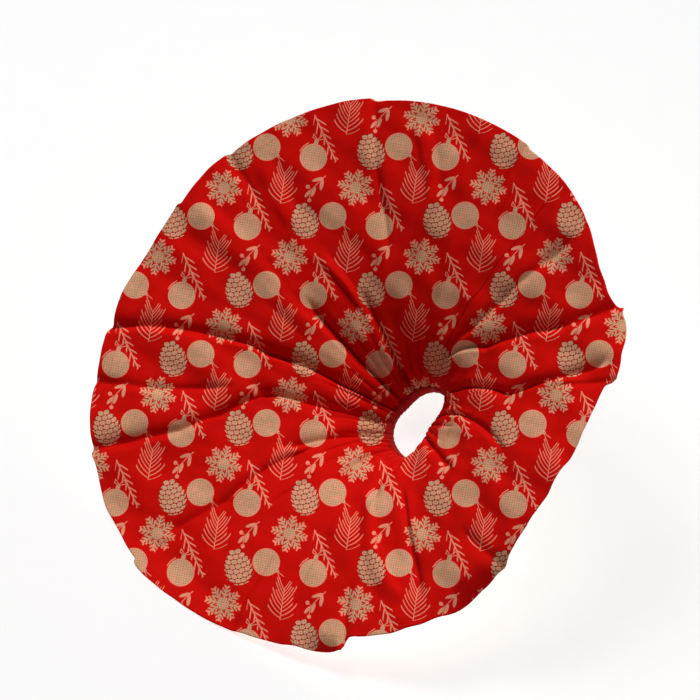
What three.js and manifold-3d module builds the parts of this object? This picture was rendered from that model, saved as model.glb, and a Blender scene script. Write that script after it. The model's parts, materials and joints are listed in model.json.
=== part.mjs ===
// A round cloth tree skirt, gathered into a trumpet and laid on the floor: it rests on the end of its
// neck and on the low side of its rim. Millimetres, +Z up, and the floor is z = 0.
//
// Every cloth layer is cut as a flat ring and then draped. `along` is a distance along the cloth from
// the edge of the centre hole, `behind` is a depth behind the printed face, and angles turn round the mouth.
import * as THREE from "three";
import { mergeVertices } from "three/addons/utils/BufferGeometryUtils.js";
import Module from "manifold-3d";

const wasm = await Module();
wasm.setup();

// The draped shape.
const HOLE_RADIUS = 70;
const RIM_RADIUS = 507;
const NECK_DEPTH = 267;
const BEND_RADIUS = 88; // the straight neck and the straight flare would meet at this radius and depth
const BEND_DEPTH = 92;
const NECK_STRAIGHT = 0.7; // share of the neck, and of the flare, that pulls the curve straight
const FLARE_STRAIGHT = 0.8;
const LEAN = 32.8; // degrees between the axis of the trumpet and the vertical
const LEAN_TOWARDS = 219.2; // direction that the mouth leans towards, in the floor plane
const NECK_PRESS = 3; // how far the rolled end of the neck is pressed flat on the floor

// Broad waves and pleats of the rim: angle, half width, rise off the trumpet and reach outwards.
const WAVES = [
  { angle: 327, half: 38, rise: 38, reach: -5 },
  { angle: 245, half: 34, rise: 0, reach: 9 },
  { angle: 356, half: 16, rise: 4, reach: 12 },
  { angle: 112, half: 75, rise: 0, reach: 22 },
  { angle: 205, half: 50, rise: 0, reach: 20 },
  { angle: 12, half: 12, rise: -7, reach: 0 },
  { angle: 300, half: 12, rise: 8, reach: 0 },
  { angle: 268, half: 13, rise: 9, reach: 0 },
  { angle: 240, half: 14, rise: 8, reach: 0 },
  { angle: 184, half: 13, rise: 10, reach: 0 },
  { angle: 159, half: 13, rise: 10, reach: 0 },
  { angle: 132, half: 13, rise: 8, reach: 0 },
];
const WAVE_START = 0.25; // share of the cloth, from the hole, that has no waves

// Cloth layers: [front, back] behind the printed face, with air between neighbours.
const AIR = 0.3;
const FACE = [0, 1.2];
const LINING = [1.5, 2.7];
const HEM = [3.0, 4.2];
const HOOK_TAPE = [3.0, 3.9];
const LOOP_TAPE = [4.2, 5.1];
const SEAM = [3.0, 5.1]; // folded seam allowances that hold the placket and the tab clear of the tapes
const PLACKET = [5.4, 6.6];
const LABEL = [3.0, 3.5];
const BINDING = 1.2;
const BINDING_ROLL = 5; // rolled edge of the binding, past the edge of the cloth
const BINDING_WIDTH = 20;
const HEM_WIDTH = 25;

// The slit, and the corner of cloth beside it that folds back.
const SLIT_ANGLE = 36.5;
const SLIT_GAP = 1.6;
const FOLD_INNER = 145; // along the slit, where the fold starts
const FOLD_ANGLE = 78; // where the fold meets the rim
const FOLD_GAP = 1;
const FOLD_BLUNT = 32; // the fold's inner corner is cut square this far out, and doesn't lift
const BLUNT_GAP = 3;
const FOLD_PROUD = 22; // in front of the face at both ends of the fold, so clear of the bulge between
const PLACKET_WIDTH = [-14, 34]; // widths are measured from the slit, positive on the flap's side
const PLACKET_SEAM = [-12, -0.8];
const FLAP_SEAM = [3.5, 11.5];
const TAPE_WIDTH = [12, 30];
const TAPE_LENGTH = 52;
const TAPE_RADII = [225, 325, 425];

// The tab behind the neck that closes the inner end of the slit.
const TAB_ROWS = [20, 110];
const TAB_WIDTH = [-36, 1.4];
const TAB_PATCH = [-34, -16];
const TAB_PIVOT = 1.7;
const ANCHOR_WIDTH = [2, 14];

const LABEL_ANGLE = 300;
const LABEL_SIZE = [30, 46];
const LABEL_RADIUS = 430;

const SEGMENTS = 48;
const CURVE_ROWS = [50, 80, 190, 260, 350, 450]; // rows of corners that follow the meridian's curve
const REACH_ALL = 900; // cutting blocks run past the rim

const neckEnd = new THREE.Vector2(HOLE_RADIUS, -NECK_DEPTH);
const rimEnd = new THREE.Vector2(RIM_RADIUS, 0);
const bend = new THREE.Vector2(BEND_RADIUS, -BEND_DEPTH);
const meridian = new THREE.CubicBezierCurve(
  neckEnd,
  neckEnd.clone().lerp(bend, NECK_STRAIGHT),
  rimEnd.clone().lerp(bend, FLARE_STRAIGHT),
  rimEnd,
);
const CLOTH_LENGTH = meridian.getLength();
const HEM_START = CLOTH_LENGTH - HEM_WIDTH;
const ROWS = [0, ...TAB_ROWS, ...CURVE_ROWS, FOLD_INNER, HEM_START, CLOTH_LENGTH];
ROWS.sort((a, b) => a - b);

const radians = THREE.MathUtils.degToRad;
const onCircle = (degrees, radius = 1) =>
  new THREE.Vector2(Math.cos(radians(degrees)), Math.sin(radians(degrees))).multiplyScalar(radius);

// The mouth's own frame: z out of the mouth, x as near the part's +X as the lean allows.
const mouthAxis = new THREE.Vector3(
  ...onCircle(LEAN_TOWARDS, Math.sin(radians(LEAN))),
  Math.cos(radians(LEAN)),
);
const mouthX = new THREE.Vector3(1, 0, 0).projectOnPlane(mouthAxis).normalize();
const mouthY = mouthAxis.clone().cross(mouthX);
const upwards = new THREE.Vector3(mouthX.z, mouthY.z, mouthAxis.z); // the part's +Z, in the mouth's frame

// The point of the trumpet's meridian at a distance along it, and the direction that its face looks in.
function meridianPoint(along) {
  const share = THREE.MathUtils.clamp(along / CLOTH_LENGTH, 0, 1);
  const tangent = meridian.getTangentAt(share);
  const point = meridian.getPointAt(share).addScaledVector(tangent, along - share * CLOTH_LENGTH);
  return { point, facing: new THREE.Vector2(-tangent.y, tangent.x) };
}

function trumpetPoint(along, behind, angle, rise = 0) {
  const { point, facing } = meridianPoint(along);
  point.addScaledVector(facing, rise - behind);
  const round = onCircle(angle, point.x);
  return new THREE.Vector3(round.x, round.y, point.y);
}

// The neck's outermost low point sets how high the mouth's centre stands.
const lowestNeck = Math.min(
  ...Array.from({ length: SEGMENTS }, (_, i) =>
    trumpetPoint(-BINDING_ROLL, HEM[1], (i * 360) / SEGMENTS).dot(upwards)),
);
const MOUTH_HEIGHT = -lowestNeck - NECK_PRESS;

function waveAt(wave, angle) {
  const away = Math.abs(((((angle - wave.angle) % 360) + 540) % 360) - 180);
  return away < wave.half ? 0.5 + 0.5 * Math.cos((Math.PI * away) / wave.half) : 0;
}

// Where a point of the flat cloth comes to lie, in the mouth's frame. Cloth that meets the floor lies on it.
function drape(along, behind, angle) {
  const share = along / CLOTH_LENGTH;
  const swell = THREE.MathUtils.smoothstep(share, WAVE_START, 1);
  let rise = 0;
  let reach = 0;
  for (const wave of WAVES) {
    rise += wave.rise * swell * waveAt(wave, angle);
    reach += wave.reach * swell * waveAt(wave, angle);
  }
  const place = trumpetPoint(along + reach, behind, angle, rise);
  const height = place.dot(upwards) + MOUTH_HEIGHT;
  const floorLevel = HEM[1] - behind;
  if (along > FOLD_INNER && height < floorLevel) place.addScaledVector(upwards, floorLevel - height);
  return place;
}

function solidOf(geometry) {
  geometry.deleteAttribute("normal");
  geometry.deleteAttribute("uv");
  const merged = mergeVertices(geometry, 1e-3);
  return new wasm.Manifold(
    new wasm.Mesh({
      numProp: 3,
      vertProperties: merged.attributes.position.array,
      triVerts: new Uint32Array(merged.index.array),
    }),
  );
}

// Splits the quads of a lathed ring that run inwards along the other diagonal, so that the facets of
// neighbouring layers stay parallel when they are draped.
function matchDiagonals(flat, corners) {
  const index = flat.index.array;
  const quads = corners.length - 1;
  for (let quad = 0; quad < index.length / 6; quad++) {
    const corner = quad % quads;
    if (corners[corner + 1].x >= corners[corner].x) continue;
    const [a, b, d, c] = index.subarray(6 * quad, 6 * quad + 4);
    index.set([a, b, c, a, c, d], 6 * quad);
  }
}

// A flat ring with the section given as [along, behind] corners, then draped.
function drapedRing(section) {
  const corners = section.map(([along, behind]) => new THREE.Vector2(HOLE_RADIUS + along, -behind));
  corners.push(corners[0]);
  const flat = new THREE.LatheGeometry(corners, SEGMENTS).rotateX(Math.PI / 2);
  matchDiagonals(flat, corners);
  const vertex = new THREE.Vector3();
  const position = flat.attributes.position;
  for (let i = 0; i < position.count; i++) {
    vertex.fromBufferAttribute(position, i);
    const along = Math.hypot(vertex.x, vertex.y) - HOLE_RADIUS;
    const angle = THREE.MathUtils.radToDeg(Math.atan2(vertex.y, vertex.x));
    position.setXYZ(i, ...drape(along, -vertex.z, angle));
  }
  return solidOf(flat);
}

function clothRing([from, to], [front, back]) {
  const rows = [from, ...ROWS.filter((row) => row > from && row < to), to];
  return drapedRing([
    ...rows.map((along) => [along, back]),
    ...rows.reverse().map((along) => [along, front]),
  ]);
}

function bindingRing() {
  const inner = [-BINDING - AIR, -AIR];
  return drapedRing([
    [-BINDING_ROLL, HEM[1]],
    [BINDING_WIDTH, HEM[1]],
    [BINDING_WIDTH, HEM[0]],
    [-AIR, HEM[0]],
    [-AIR, inner[1]],
    [BINDING_WIDTH, inner[1]],
    [BINDING_WIDTH, inner[0]],
    [-BINDING_ROLL, inner[0]],
  ]);
}

// Cutting blocks. They run right through the cloth, parallel to the mouth's axis.
function radialBlock(angle, [near, far], [low, high]) {
  const block = new THREE.BoxGeometry(far - near, high - low, REACH_ALL);
  block.translate((near + far) / 2, (low + high) / 2, 0).rotateZ(radians(angle));
  return solidOf(block);
}

const foldInner = drape(FOLD_INNER, -FOLD_PROUD, SLIT_ANGLE);
const foldOuter = drape(CLOTH_LENGTH, -FOLD_PROUD, FOLD_ANGLE);
const foldDirection = new THREE.Vector2(foldOuter.x - foldInner.x, foldOuter.y - foldInner.y).normalize();
const slitDirection = onCircle(SLIT_ANGLE);
const slitSide = onCircle(SLIT_ANGLE + 90);

// The wedge of cloth between the slit and the fold, blunt at its inner end and drawn in by clearances.
function foldWedge(slitClearance, foldClearance, bluntClearance) {
  const across = foldDirection.dot(slitSide);
  const forward = (foldClearance + slitClearance * foldDirection.dot(slitDirection)) / across;
  const tip = new THREE.Vector2(foldInner.x, foldInner.y)
    .addScaledVector(slitDirection, forward)
    .addScaledVector(slitSide, slitClearance);
  const blunt = FOLD_BLUNT + bluntClearance;
  const outline = new THREE.Shape([
    tip.clone().addScaledVector(slitDirection, blunt / foldDirection.dot(slitDirection)),
    tip.clone().addScaledVector(slitDirection, REACH_ALL),
    tip.clone().addScaledVector(foldDirection, REACH_ALL),
    tip.clone().addScaledVector(foldDirection, blunt),
  ]);
  const wedge = new THREE.ExtrudeGeometry(outline, { depth: REACH_ALL, bevelEnabled: false });
  return solidOf(wedge.translate(0, 0, -REACH_ALL / 2));
}

const slitCut = radialBlock(SLIT_ANGLE, [HOLE_RADIUS / 3, REACH_ALL], [-SLIT_GAP / 2, SLIT_GAP / 2]);
const foldCut = foldWedge(0, 0, 0);
const flapWedge = foldWedge(SLIT_GAP / 2, FOLD_GAP, BLUNT_GAP);
const skirtPart = (ring) => ring.subtract(slitCut).subtract(foldCut);
const flapPart = (ring) => ring.intersect(flapWedge);
const besideSlit = (ring, width, radii = [HOLE_RADIUS / 3, REACH_ALL]) =>
  ring.intersect(radialBlock(SLIT_ANGLE, radii, width));

const mouthMatrix = new THREE.Matrix4()
  .makeBasis(mouthX, mouthY, mouthAxis)
  .setPosition(0, 0, MOUTH_HEIGHT);
function floorBlock() {
  const block = new THREE.BoxGeometry(2 * REACH_ALL, 2 * REACH_ALL, REACH_ALL);
  return solidOf(block.translate(0, 0, -REACH_ALL / 2).applyMatrix4(mouthMatrix.clone().invert()));
}

const cloth = (color, roughness) => new THREE.MeshStandardMaterial({ color, roughness, metalness: 0 });
const printedCloth = cloth(0xb3130d, 0.85);
const feltLining = cloth(0xe9e2d6, 0.95);
const bindingTape = cloth(0x9c100c, 0.8);
const placketCloth = cloth(0xa8120d, 0.85);
const hookTape = cloth(0x7d0f0c, 0.6);
const loopTape = cloth(0x8a1512, 0.95);
const labelSatin = cloth(0xf4f1ea, 0.45);

const mouth = new THREE.Group();
function addPiece(name, solid, material) {
  const { vertProperties, triVerts } = solid.getMesh();
  const geometry = new THREE.BufferGeometry();
  geometry.setAttribute("position", new THREE.BufferAttribute(vertProperties, 3));
  geometry.setIndex(new THREE.BufferAttribute(triVerts, 1));
  geometry.computeVertexNormals();
  const mesh = new THREE.Mesh(geometry, material);
  mesh.name = name;
  mouth.add(mesh);
}

// The two main layers, the turned hem and the binding of the neck.
const wholeCloth = [0, CLOTH_LENGTH];
const faceRing = clothRing(wholeCloth, FACE);
const liningRing = clothRing(wholeCloth, LINING);
const hemRing = clothRing([HEM_START, CLOTH_LENGTH], HEM);
addPiece("face_cloth", skirtPart(faceRing), printedCloth);
addPiece("lining_cloth", skirtPart(liningRing), feltLining);
addPiece("rim_hem", skirtPart(hemRing), printedCloth);
addPiece("neck_binding", bindingRing().subtract(slitCut).subtract(floorBlock()), bindingTape);

// The flap: the same cloth, cut where it folds.
addPiece("flap_face_cloth", flapPart(faceRing), printedCloth);
addPiece("flap_lining_cloth", flapPart(liningRing), feltLining);
addPiece("flap_hem", flapPart(hemRing), printedCloth);
const flapSeam = besideSlit(clothRing([FOLD_INNER, HEM_START - AIR], SEAM), FLAP_SEAM);
addPiece("flap_slit_seam", flapPart(flapSeam), placketCloth);

// The placket under the flap, and the tapes that hold the slit shut.
const placketSeam = clothRing([FOLD_INNER, HEM_START - AIR], SEAM);
addPiece("placket_seam", besideSlit(placketSeam, PLACKET_SEAM), placketCloth);
addPiece("placket", besideSlit(clothRing([FOLD_INNER, CLOTH_LENGTH], PLACKET), PLACKET_WIDTH), placketCloth);
const hookRing = clothRing([FOLD_INNER, HEM_START - AIR], HOOK_TAPE);
const loopRing = clothRing([FOLD_INNER, HEM_START - AIR], LOOP_TAPE);
TAPE_RADII.forEach((radius, i) => {
  const radii = [radius - TAPE_LENGTH / 2, radius + TAPE_LENGTH / 2];
  addPiece(`hook_tape_${i + 1}`, besideSlit(hookRing, TAPE_WIDTH, radii), hookTape);
  addPiece(`loop_tape_${i + 1}`, besideSlit(loopRing, TAPE_WIDTH, radii), loopTape);
});

// The tab that closes the neck: sewn down by its anchor, hooked on a patch across the slit.
const anchor = clothRing(TAB_ROWS, [SEAM[0], PLACKET[1]]);
addPiece("neck_tab_anchor", besideSlit(anchor, ANCHOR_WIDTH), placketCloth);
addPiece("neck_tab", besideSlit(clothRing(TAB_ROWS, PLACKET), TAB_WIDTH), placketCloth);
addPiece("neck_tab_hooks", besideSlit(clothRing(TAB_ROWS, LOOP_TAPE), TAB_PATCH), hookTape);
addPiece("neck_loop_patch", besideSlit(clothRing(TAB_ROWS, HOOK_TAPE), TAB_PATCH), loopTape);

// A plain care label, sewn flat on the lining.
const labelBlock = radialBlock(
  LABEL_ANGLE,
  [LABEL_RADIUS - LABEL_SIZE[0] / 2, LABEL_RADIUS + LABEL_SIZE[0] / 2],
  [-LABEL_SIZE[1] / 2, LABEL_SIZE[1] / 2],
);
addPiece("care_label", clothRing([FOLD_INNER, HEM_START - AIR], LABEL).intersect(labelBlock), labelSatin);

// The origin is on the floor, under the middle of the bounding box.
mouth.applyMatrix4(mouthMatrix);
const middle = new THREE.Box3().setFromObject(mouth, true).getCenter(new THREE.Vector3());
mouth.position.x -= middle.x;
mouth.position.y -= middle.y;
mouth.updateMatrix();
const group = new THREE.Group();
group.add(mouth);

// The two hinge lines, from their inner to their outer ends, in the part's frame.
const tabLine = TAB_ROWS.map((along) => {
  const aside = new THREE.Vector3(slitSide.x, slitSide.y, 0).multiplyScalar(TAB_PIVOT);
  return drape(along, PLACKET[1] + AIR, SLIT_ANGLE).add(aside);
});
group.userData.hinges = {
  slit_flap_fold: [foldInner, foldOuter].map((point) => point.clone().applyMatrix4(mouth.matrix)),
  neck_tab_hinge: tabLine.map((point) => point.applyMatrix4(mouth.matrix)),
};
export default group;
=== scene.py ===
"""A round cloth tree skirt, gathered into a trumpet and laid on the floor, dressed around its CAD frame."""
import json
import math
from collections import namedtuple

import bpy
import numpy as np
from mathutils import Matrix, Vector


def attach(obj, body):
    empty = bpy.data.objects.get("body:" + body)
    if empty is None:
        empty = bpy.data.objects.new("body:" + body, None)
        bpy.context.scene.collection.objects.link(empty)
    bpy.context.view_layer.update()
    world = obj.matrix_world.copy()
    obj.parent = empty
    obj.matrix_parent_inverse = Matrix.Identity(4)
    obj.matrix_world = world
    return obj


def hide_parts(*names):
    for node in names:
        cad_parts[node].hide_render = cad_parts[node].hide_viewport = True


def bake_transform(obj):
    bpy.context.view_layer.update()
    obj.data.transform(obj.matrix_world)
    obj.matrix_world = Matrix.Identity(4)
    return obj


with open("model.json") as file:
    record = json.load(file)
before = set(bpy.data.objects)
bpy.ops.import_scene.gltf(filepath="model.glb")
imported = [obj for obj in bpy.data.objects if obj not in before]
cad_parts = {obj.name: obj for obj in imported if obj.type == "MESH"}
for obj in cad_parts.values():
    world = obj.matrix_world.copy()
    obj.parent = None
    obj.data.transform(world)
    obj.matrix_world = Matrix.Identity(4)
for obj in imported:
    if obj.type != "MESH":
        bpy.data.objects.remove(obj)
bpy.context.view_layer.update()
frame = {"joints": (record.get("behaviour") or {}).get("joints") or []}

bl_info = {
    "name": "Gathered tree skirt",
    "version": (1, 0, 0),
    "blender": (4, 5, 0),
    "location": "View3D > Sidebar > Tree Skirt",
    "description": "Drapes the cloth, lining, bindings, tapes and stitches of a tree skirt",
    "category": "Object",
}

MM = 0.001

# ---------------------------------------------------------------- the draped shape, as the part has it
HOLE_RADIUS = 70 * MM
RIM_RADIUS = 507 * MM
NECK_DEPTH = 267 * MM
BEND_RADIUS = 88 * MM
BEND_DEPTH = 92 * MM
NECK_STRAIGHT = 0.7
FLARE_STRAIGHT = 0.8
LEAN = math.radians(32.8)
LEAN_TOWARDS = math.radians(219.2)
MOUTH_CENTRE = np.array((2.229, -9.453, 265.874)) * MM
WAVE_START = 0.25  # share of the cloth, from the hole, that has no waves
FLOOR_GAP = 4.4 * MM  # the printed face stays this far above the floor, on the layers behind it
FLOOR_SOFT = 1.5 * MM  # the cloth flattens over this height where it comes down to the floor
FLOOR_START = 0.26  # share of the cloth, from the hole, that can't reach the floor
MERIDIAN_STEPS = 3001

# Broad waves of the mouth: middle and half width in degrees, how far it rises and reaches out in mm.
Wave = namedtuple("Wave", "angle half rise reach")
WAVES = (
    Wave(327, 38, 38, -5),
    Wave(247, 30, 0, -5),
    Wave(356, 16, 4, 12),
    Wave(315, 30, 0, -9),
    Wave(20, 20, 0, -8),
    Wave(13, 13, 0, -12),
    Wave(192, 9, 0, -9),
    Wave(298, 9, 0, -7),
    Wave(139, 17, 0, -13),
    Wave(205, 13, 0, -12),
    Wave(178, 12, 0, 5),
    Wave(112, 75, 0, 22),
    Wave(205, 50, 0, 20),
    Wave(12, 12, -7, 0),
    Wave(300, 12, 8, 0),
    Wave(268, 13, 9, 0),
    Wave(240, 14, 8, 0),
    Wave(184, 13, 10, 0),
    Wave(159, 13, 5, 0),
    Wave(132, 13, 4, 0),
)

# Where the soft edge of the hole is pressed inwards, as angle and half width in degrees and depth in mm.
Press = namedtuple("Press", "angle half depth")
PRESSES = (Press(128, 88, 28), Press(205, 70, 14), Press(324, 66, 38))
PRESS_REACH = 150 * MM  # along the cloth, from the hole

# Where the rim curls down, as angle and half width in degrees and depth in mm.
CURLS = (Press(298, 13, 30), Press(263, 7, 18), Press(0, 6, 8))
CURL_WIDTH = 34 * MM  # along the cloth, from the rim

# Layers behind the printed face as (front, back), and the slit with what closes it.
LINING_BEHIND = 2.0 * MM
HEM_BEHIND = 3.6 * MM
HEM_WIDTH = 25 * MM
HOOK_TAPE = (3.0 * MM, 3.9 * MM)
LOOP_TAPE = (4.2 * MM, 5.1 * MM)
SEAM = (3.0 * MM, 5.1 * MM)
PLACKET = (5.4 * MM, 6.6 * MM)
LABEL = (3.0 * MM, 3.5 * MM)
BINDING_THICK = 1.2 * MM
BINDING_ROLL = 5 * MM
BINDING_WIDTH = 20 * MM
BINDING_BACK = HEM_BEHIND + 0.5 * MM
BINDING_STEPS = 500  # mesh steps round the hole
BINDING_SEWN = 2.5 * MM  # stitches this far inside its edge
SLIT_ANGLE = 36.5  # degrees, like the angles below
SLIT_GAP = 1.6 * MM
FOLD_INNER = 145 * MM
FOLD_ANGLE = 78
FOLD_BLEND = 30 * MM  # the cloth bends over this much on each side of the fold
FOLD_SKEW = 10  # degrees that the middle of the fold lies past the flap's own middle
FLAP_WIDEST = 75  # degrees from the slit that the flap never reaches
TAB_BEND = (6 * MM, -4 * MM)  # the tab bends between these widths from the slit
PLACKET_WIDTH = (-14 * MM, 34 * MM)  # widths are measured from the slit, positive on the flap's side
PLACKET_SEAM = (-12 * MM, -0.8 * MM)
FLAP_SEAM = (3.5 * MM, 11.5 * MM)
TAPE_WIDTH = (12 * MM, 30 * MM)
TAPE_LENGTH = 52 * MM
TAPE_RADII = (225 * MM, 325 * MM, 425 * MM)
TAB_ALONG = (20 * MM, 110 * MM)
TAB_END = -36 * MM
TAB_PATCH = (-34 * MM, -16 * MM)
ANCHOR_WIDTH = (2 * MM, 14 * MM)
LABEL_ANGLE = 300
LABEL_SIZE = (30 * MM, 46 * MM)
LABEL_RADIUS = 430 * MM

# ---------------------------------------------------------------- creases and pleats of the real cloth
# angles are (along, angle) pairs down the middle of a fold, in mm and degrees; before and after are its
# half widths at the rim on its clockwise and counter-clockwise side; height is in front of the face, and
# a negative one is a sharp crease; sideways pushes the fold over counter-clockwise; step is how much
# further the rim reaches on the counter-clockwise side. All in mm.
Fold = namedtuple("Fold", "angles before after height sideways step")
FOLDS = (
    Fold(((200, 146), (300, 151), (460, 156), (548, 159.5)), 34, 34, -17, 7, 6),
    Fold(((320, 170.5), (430, 172.5), (548, 171.5)), 26, 26, -8, 3, 0),
    Fold(((240, 168), (314, 178), (390, 183.5), (548, 185.5)), 34, 40, -19, 8, 6),
    Fold(((180, 204), (270, 206.5), (353, 211), (465, 211)), 30, 30, -13, 5, 0),
    Fold(((200, 225.5), (300, 224)), 22, 22, -5, 0, 0),
    Fold(((140, 34), (242, 16), (428, 7.3), (548, 6.4)), 40, 48, -16, -4, -14),
    Fold(((110, 6), (295, 349.5), (400, 352), (510, 354)), 30, 30, -14, -5, 0),
    Fold(((110, 343), (373, 327.5)), 26, 26, -7, 0, 0),
    Fold(((150, 35), (260, 27.5), (508, 25.5)), 40, 34, -9, -3, 0),
    Fold(((240, 55.5), (330, 54.5)), 20, 20, 4, 2, 0),
    Fold(((280, 83.5), (405, 86.5), (548, 86.5)), 34, 22, -6, -3, 6),
    Fold(((190, 100), (300, 109)), 16, 22, 7, 3, 0),
    Fold(((290, 71), (387, 68), (500, 74)), 26, 26, 7, 0, 0),
    Fold(((380, 113.5), (500, 113)), 26, 26, 5, 0, 0),
    Fold(((225, 134), (390, 130.5), (520, 132)), 44, 34, 7, -5, 6),
    Fold(((230, 265), (471, 279)), 34, 26, 8, 4, 0),
    Fold(((230, 283), (482, 285)), 30, 30, -8, 4, 0),
    Fold(((430, 302), (548, 305)), 40, 40, -8, 0, 0),
    Fold(((440, 348), (548, 348.5)), 16, 20, -6, 4, 20),
    Fold(((440, 267), (548, 268)), 22, 20, -9, -6, -22),
    Fold(((450, 213), (548, 213.5)), 24, 24, -8, 4, 6),
    Fold(((440, 118), (548, 118)), 24, 24, -6, 3, 5),
    Fold(((440, 49), (548, 48.5)), 20, 20, -5, 3, 4),
    Fold(((330, 238), (548, 241)), 30, 30, -6, 0, 0),
    Fold(((300, 252), (440, 251)), 26, 26, -5, 0, 0),
    Fold(((30, 118), (120, 122), (250, 124)), 46, 46, -15, 6, 0),
    Fold(((25, 143), (110, 147), (280, 150)), 46, 46, -17, 7, 0),
    Fold(((25, 172), (110, 171), (260, 168)), 46, 46, -16, 7, 0),
    Fold(((30, 199), (100, 198), (220, 199)), 46, 46, -13, 6, 0),
    Fold(((30, 88), (110, 92), (210, 98)), 44, 44, -11, 4, 0),
    Fold(((30, 228), (100, 232), (200, 236)), 44, 44, -10, 4, 0),
    Fold(((30, 262), (110, 264), (230, 266)), 44, 44, -7, 3, 0),
    Fold(((60, 306), (140, 308), (260, 310)), 44, 44, -8, 3, 0),
)
CREASE_POWER = 2.9  # a crease's sides steepen towards its middle
CREASE_ROUND = 0.085  # and its very bottom is this round
FOLD_FADE = 55 * MM  # a fold's ends fade over this length of cloth
FOLD_WIDEN = 0.65  # a fold is narrower in the neck, by this power of the radius
STEP_LENGTH = 80 * MM  # how far round the rim a step takes to fade
STEP_EDGE = 2.5 * MM  # how far round the rim the step itself takes
STEP_START = 0.72  # share of the cloth, from the hole, that has no step

# Gathers round the neck, all uneven. A swing is how often it comes round, and where it starts in degrees.
GATHER_POWER = 1.6  # over 1 makes the creases thinner than the bulges between them
GATHER_DRIFT = ((2.4, (3, 40)), (1.3, (7, 10)))  # degrees that a gather stands off its even place
GATHER_WANDER = 5  # degrees more that it wanders by the time it reaches the rim
GATHER_STRENGTH = (0.72, 0.28)  # mean depth, and how much it differs
GATHER_REACH = (175, 35, 80)  # mm along the cloth: mean length, how much it differs, and how it fades
GATHER_START = 28 * MM  # the binding holds the first stretch flat
GATHER_LEAST = 0.3  # share of the depth at the binding

# Small ripples: plane waves over the flat cut, the longer ones higher.
RIPPLES_MM = (150, 120, 95, 80, 66, 54, 45)
RIPPLE_MIDDLE = 95
RIPPLE_SEED = 11
RIPPLE_START = 0.3  # share of the cloth, from the hole, over which ripples grow to their full height

# Print: a diamond repeat, laid flat along these two directions of the part.
PRINT_TILT = math.radians(46.5)
PRINT_ACROSS = np.array((1.0, 0.0, 0.0))
PRINT_UP = np.array((0.0, math.sin(PRINT_TILT), math.cos(PRINT_TILT)))
PRINT_ORIGIN = np.array((-157.4, 584.9)) * MM  # the middle of one plain bauble
PRINT_REPEAT = (118.1, 123.5)  # mm, half of the diamond's width and height
PRINT_LEAST = 0.45  # the least share of its length that a stretch of cloth keeps in the print

# The view: its angle above level, the width that it takes in, and its middle, across and up.
VIEW_TILT = PRINT_TILT
VIEW_WIDTH = 1253 * MM
VIEW_CENTRE = (-8.3 * MM, 221.3 * MM)
LENS_MM = 1000
SENSOR_MM = 36


# ---------------------------------------------------------------- sizes and colours that a user may change
def linear(colour):
    """An sRGB hex colour as linear red, green, blue and alpha."""
    channels = [int(colour[i : i + 2], 16) / 255 for i in (1, 3, 5)]
    return (*(c / 12.92 if c <= 0.04045 else ((c + 0.055) / 1.055) ** 2.4 for c in channels), 1.0)


def colour_property(name, description, hex_colour):
    return bpy.props.FloatVectorProperty(
        name=name, description=description, default=linear(hex_colour), subtype="COLOR", size=4, min=0, max=1
    )


def length_property(name, description, default):
    return bpy.props.FloatProperty(name=name, description=description, default=default, unit="LENGTH", min=0)


def count_property(name, description, default, least):
    return bpy.props.IntProperty(name=name, description=description, default=default, min=least)


class SkirtSizes(bpy.types.PropertyGroup):
    """Sizes of the cloth's folds and of the sewing."""

    gather_depth: length_property("Gather depth", "Depth of the fine gathers round the neck", 4.2 * MM)
    ripple: length_property("Ripple", "Height of the cloth's small ripples", 0.9 * MM)
    fold_share: bpy.props.FloatProperty(
        name="Fold depth", description="Share of the full depth of the creases", default=1.0, min=0, max=1.2
    )
    gathers: count_property("Gathers", "Number of gathers round the neck", 34, 4)
    columns: count_property("Columns", "Mesh columns round the cloth", 760, 60)
    rows: count_property("Rows", "Mesh rows along the cloth", 112, 20)
    stitch: length_property("Stitch", "Length of one machine stitch", 3.0 * MM)
    thread: length_property("Thread", "Thickness of the sewing thread", 0.45 * MM)
    # Drawn about twice as coarse as real threads, so that they show.
    weave_mm: bpy.props.FloatProperty(
        name="Weave", description="Spacing of the printed cloth's threads, in mm", default=0.9, min=0.1
    )


class SkirtColours(bpy.types.PropertyGroup):
    """Colours of the cloths, tapes and thread."""

    ground: colour_property("Print ground", "Red of the printed cloth", "#BC0A05")
    motif: colour_property("Motif", "Beige of the printed ornaments", "#BE9471")
    outline: colour_property("Outline", "Salmon edges and fine lines of the print", "#E68A70")
    shade: colour_property("Shade", "Dark red lines inside the ornaments", "#5E0F0A")
    lining: colour_property("Lining", "Felt lining", "#E9E2D6")
    binding: colour_property("Binding", "Tape round the hole", "#A3100C")
    placket: colour_property("Placket", "Plain cloth of the placket and the tab", "#AE130E")
    hooks: colour_property("Hook tape", "Hook tape", "#7D0F0C")
    loops: colour_property("Loop tape", "Loop tape", "#8A1512")
    label: colour_property("Label", "Satin care label", "#F4F1EA")
    thread: colour_property("Thread", "Sewing thread", "#B5120D")


# ---------------------------------------------------------------- how the cloth lies
def smooth(share):
    share = np.clip(share, 0, 1)
    return share * share * (3 - 2 * share)


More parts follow.
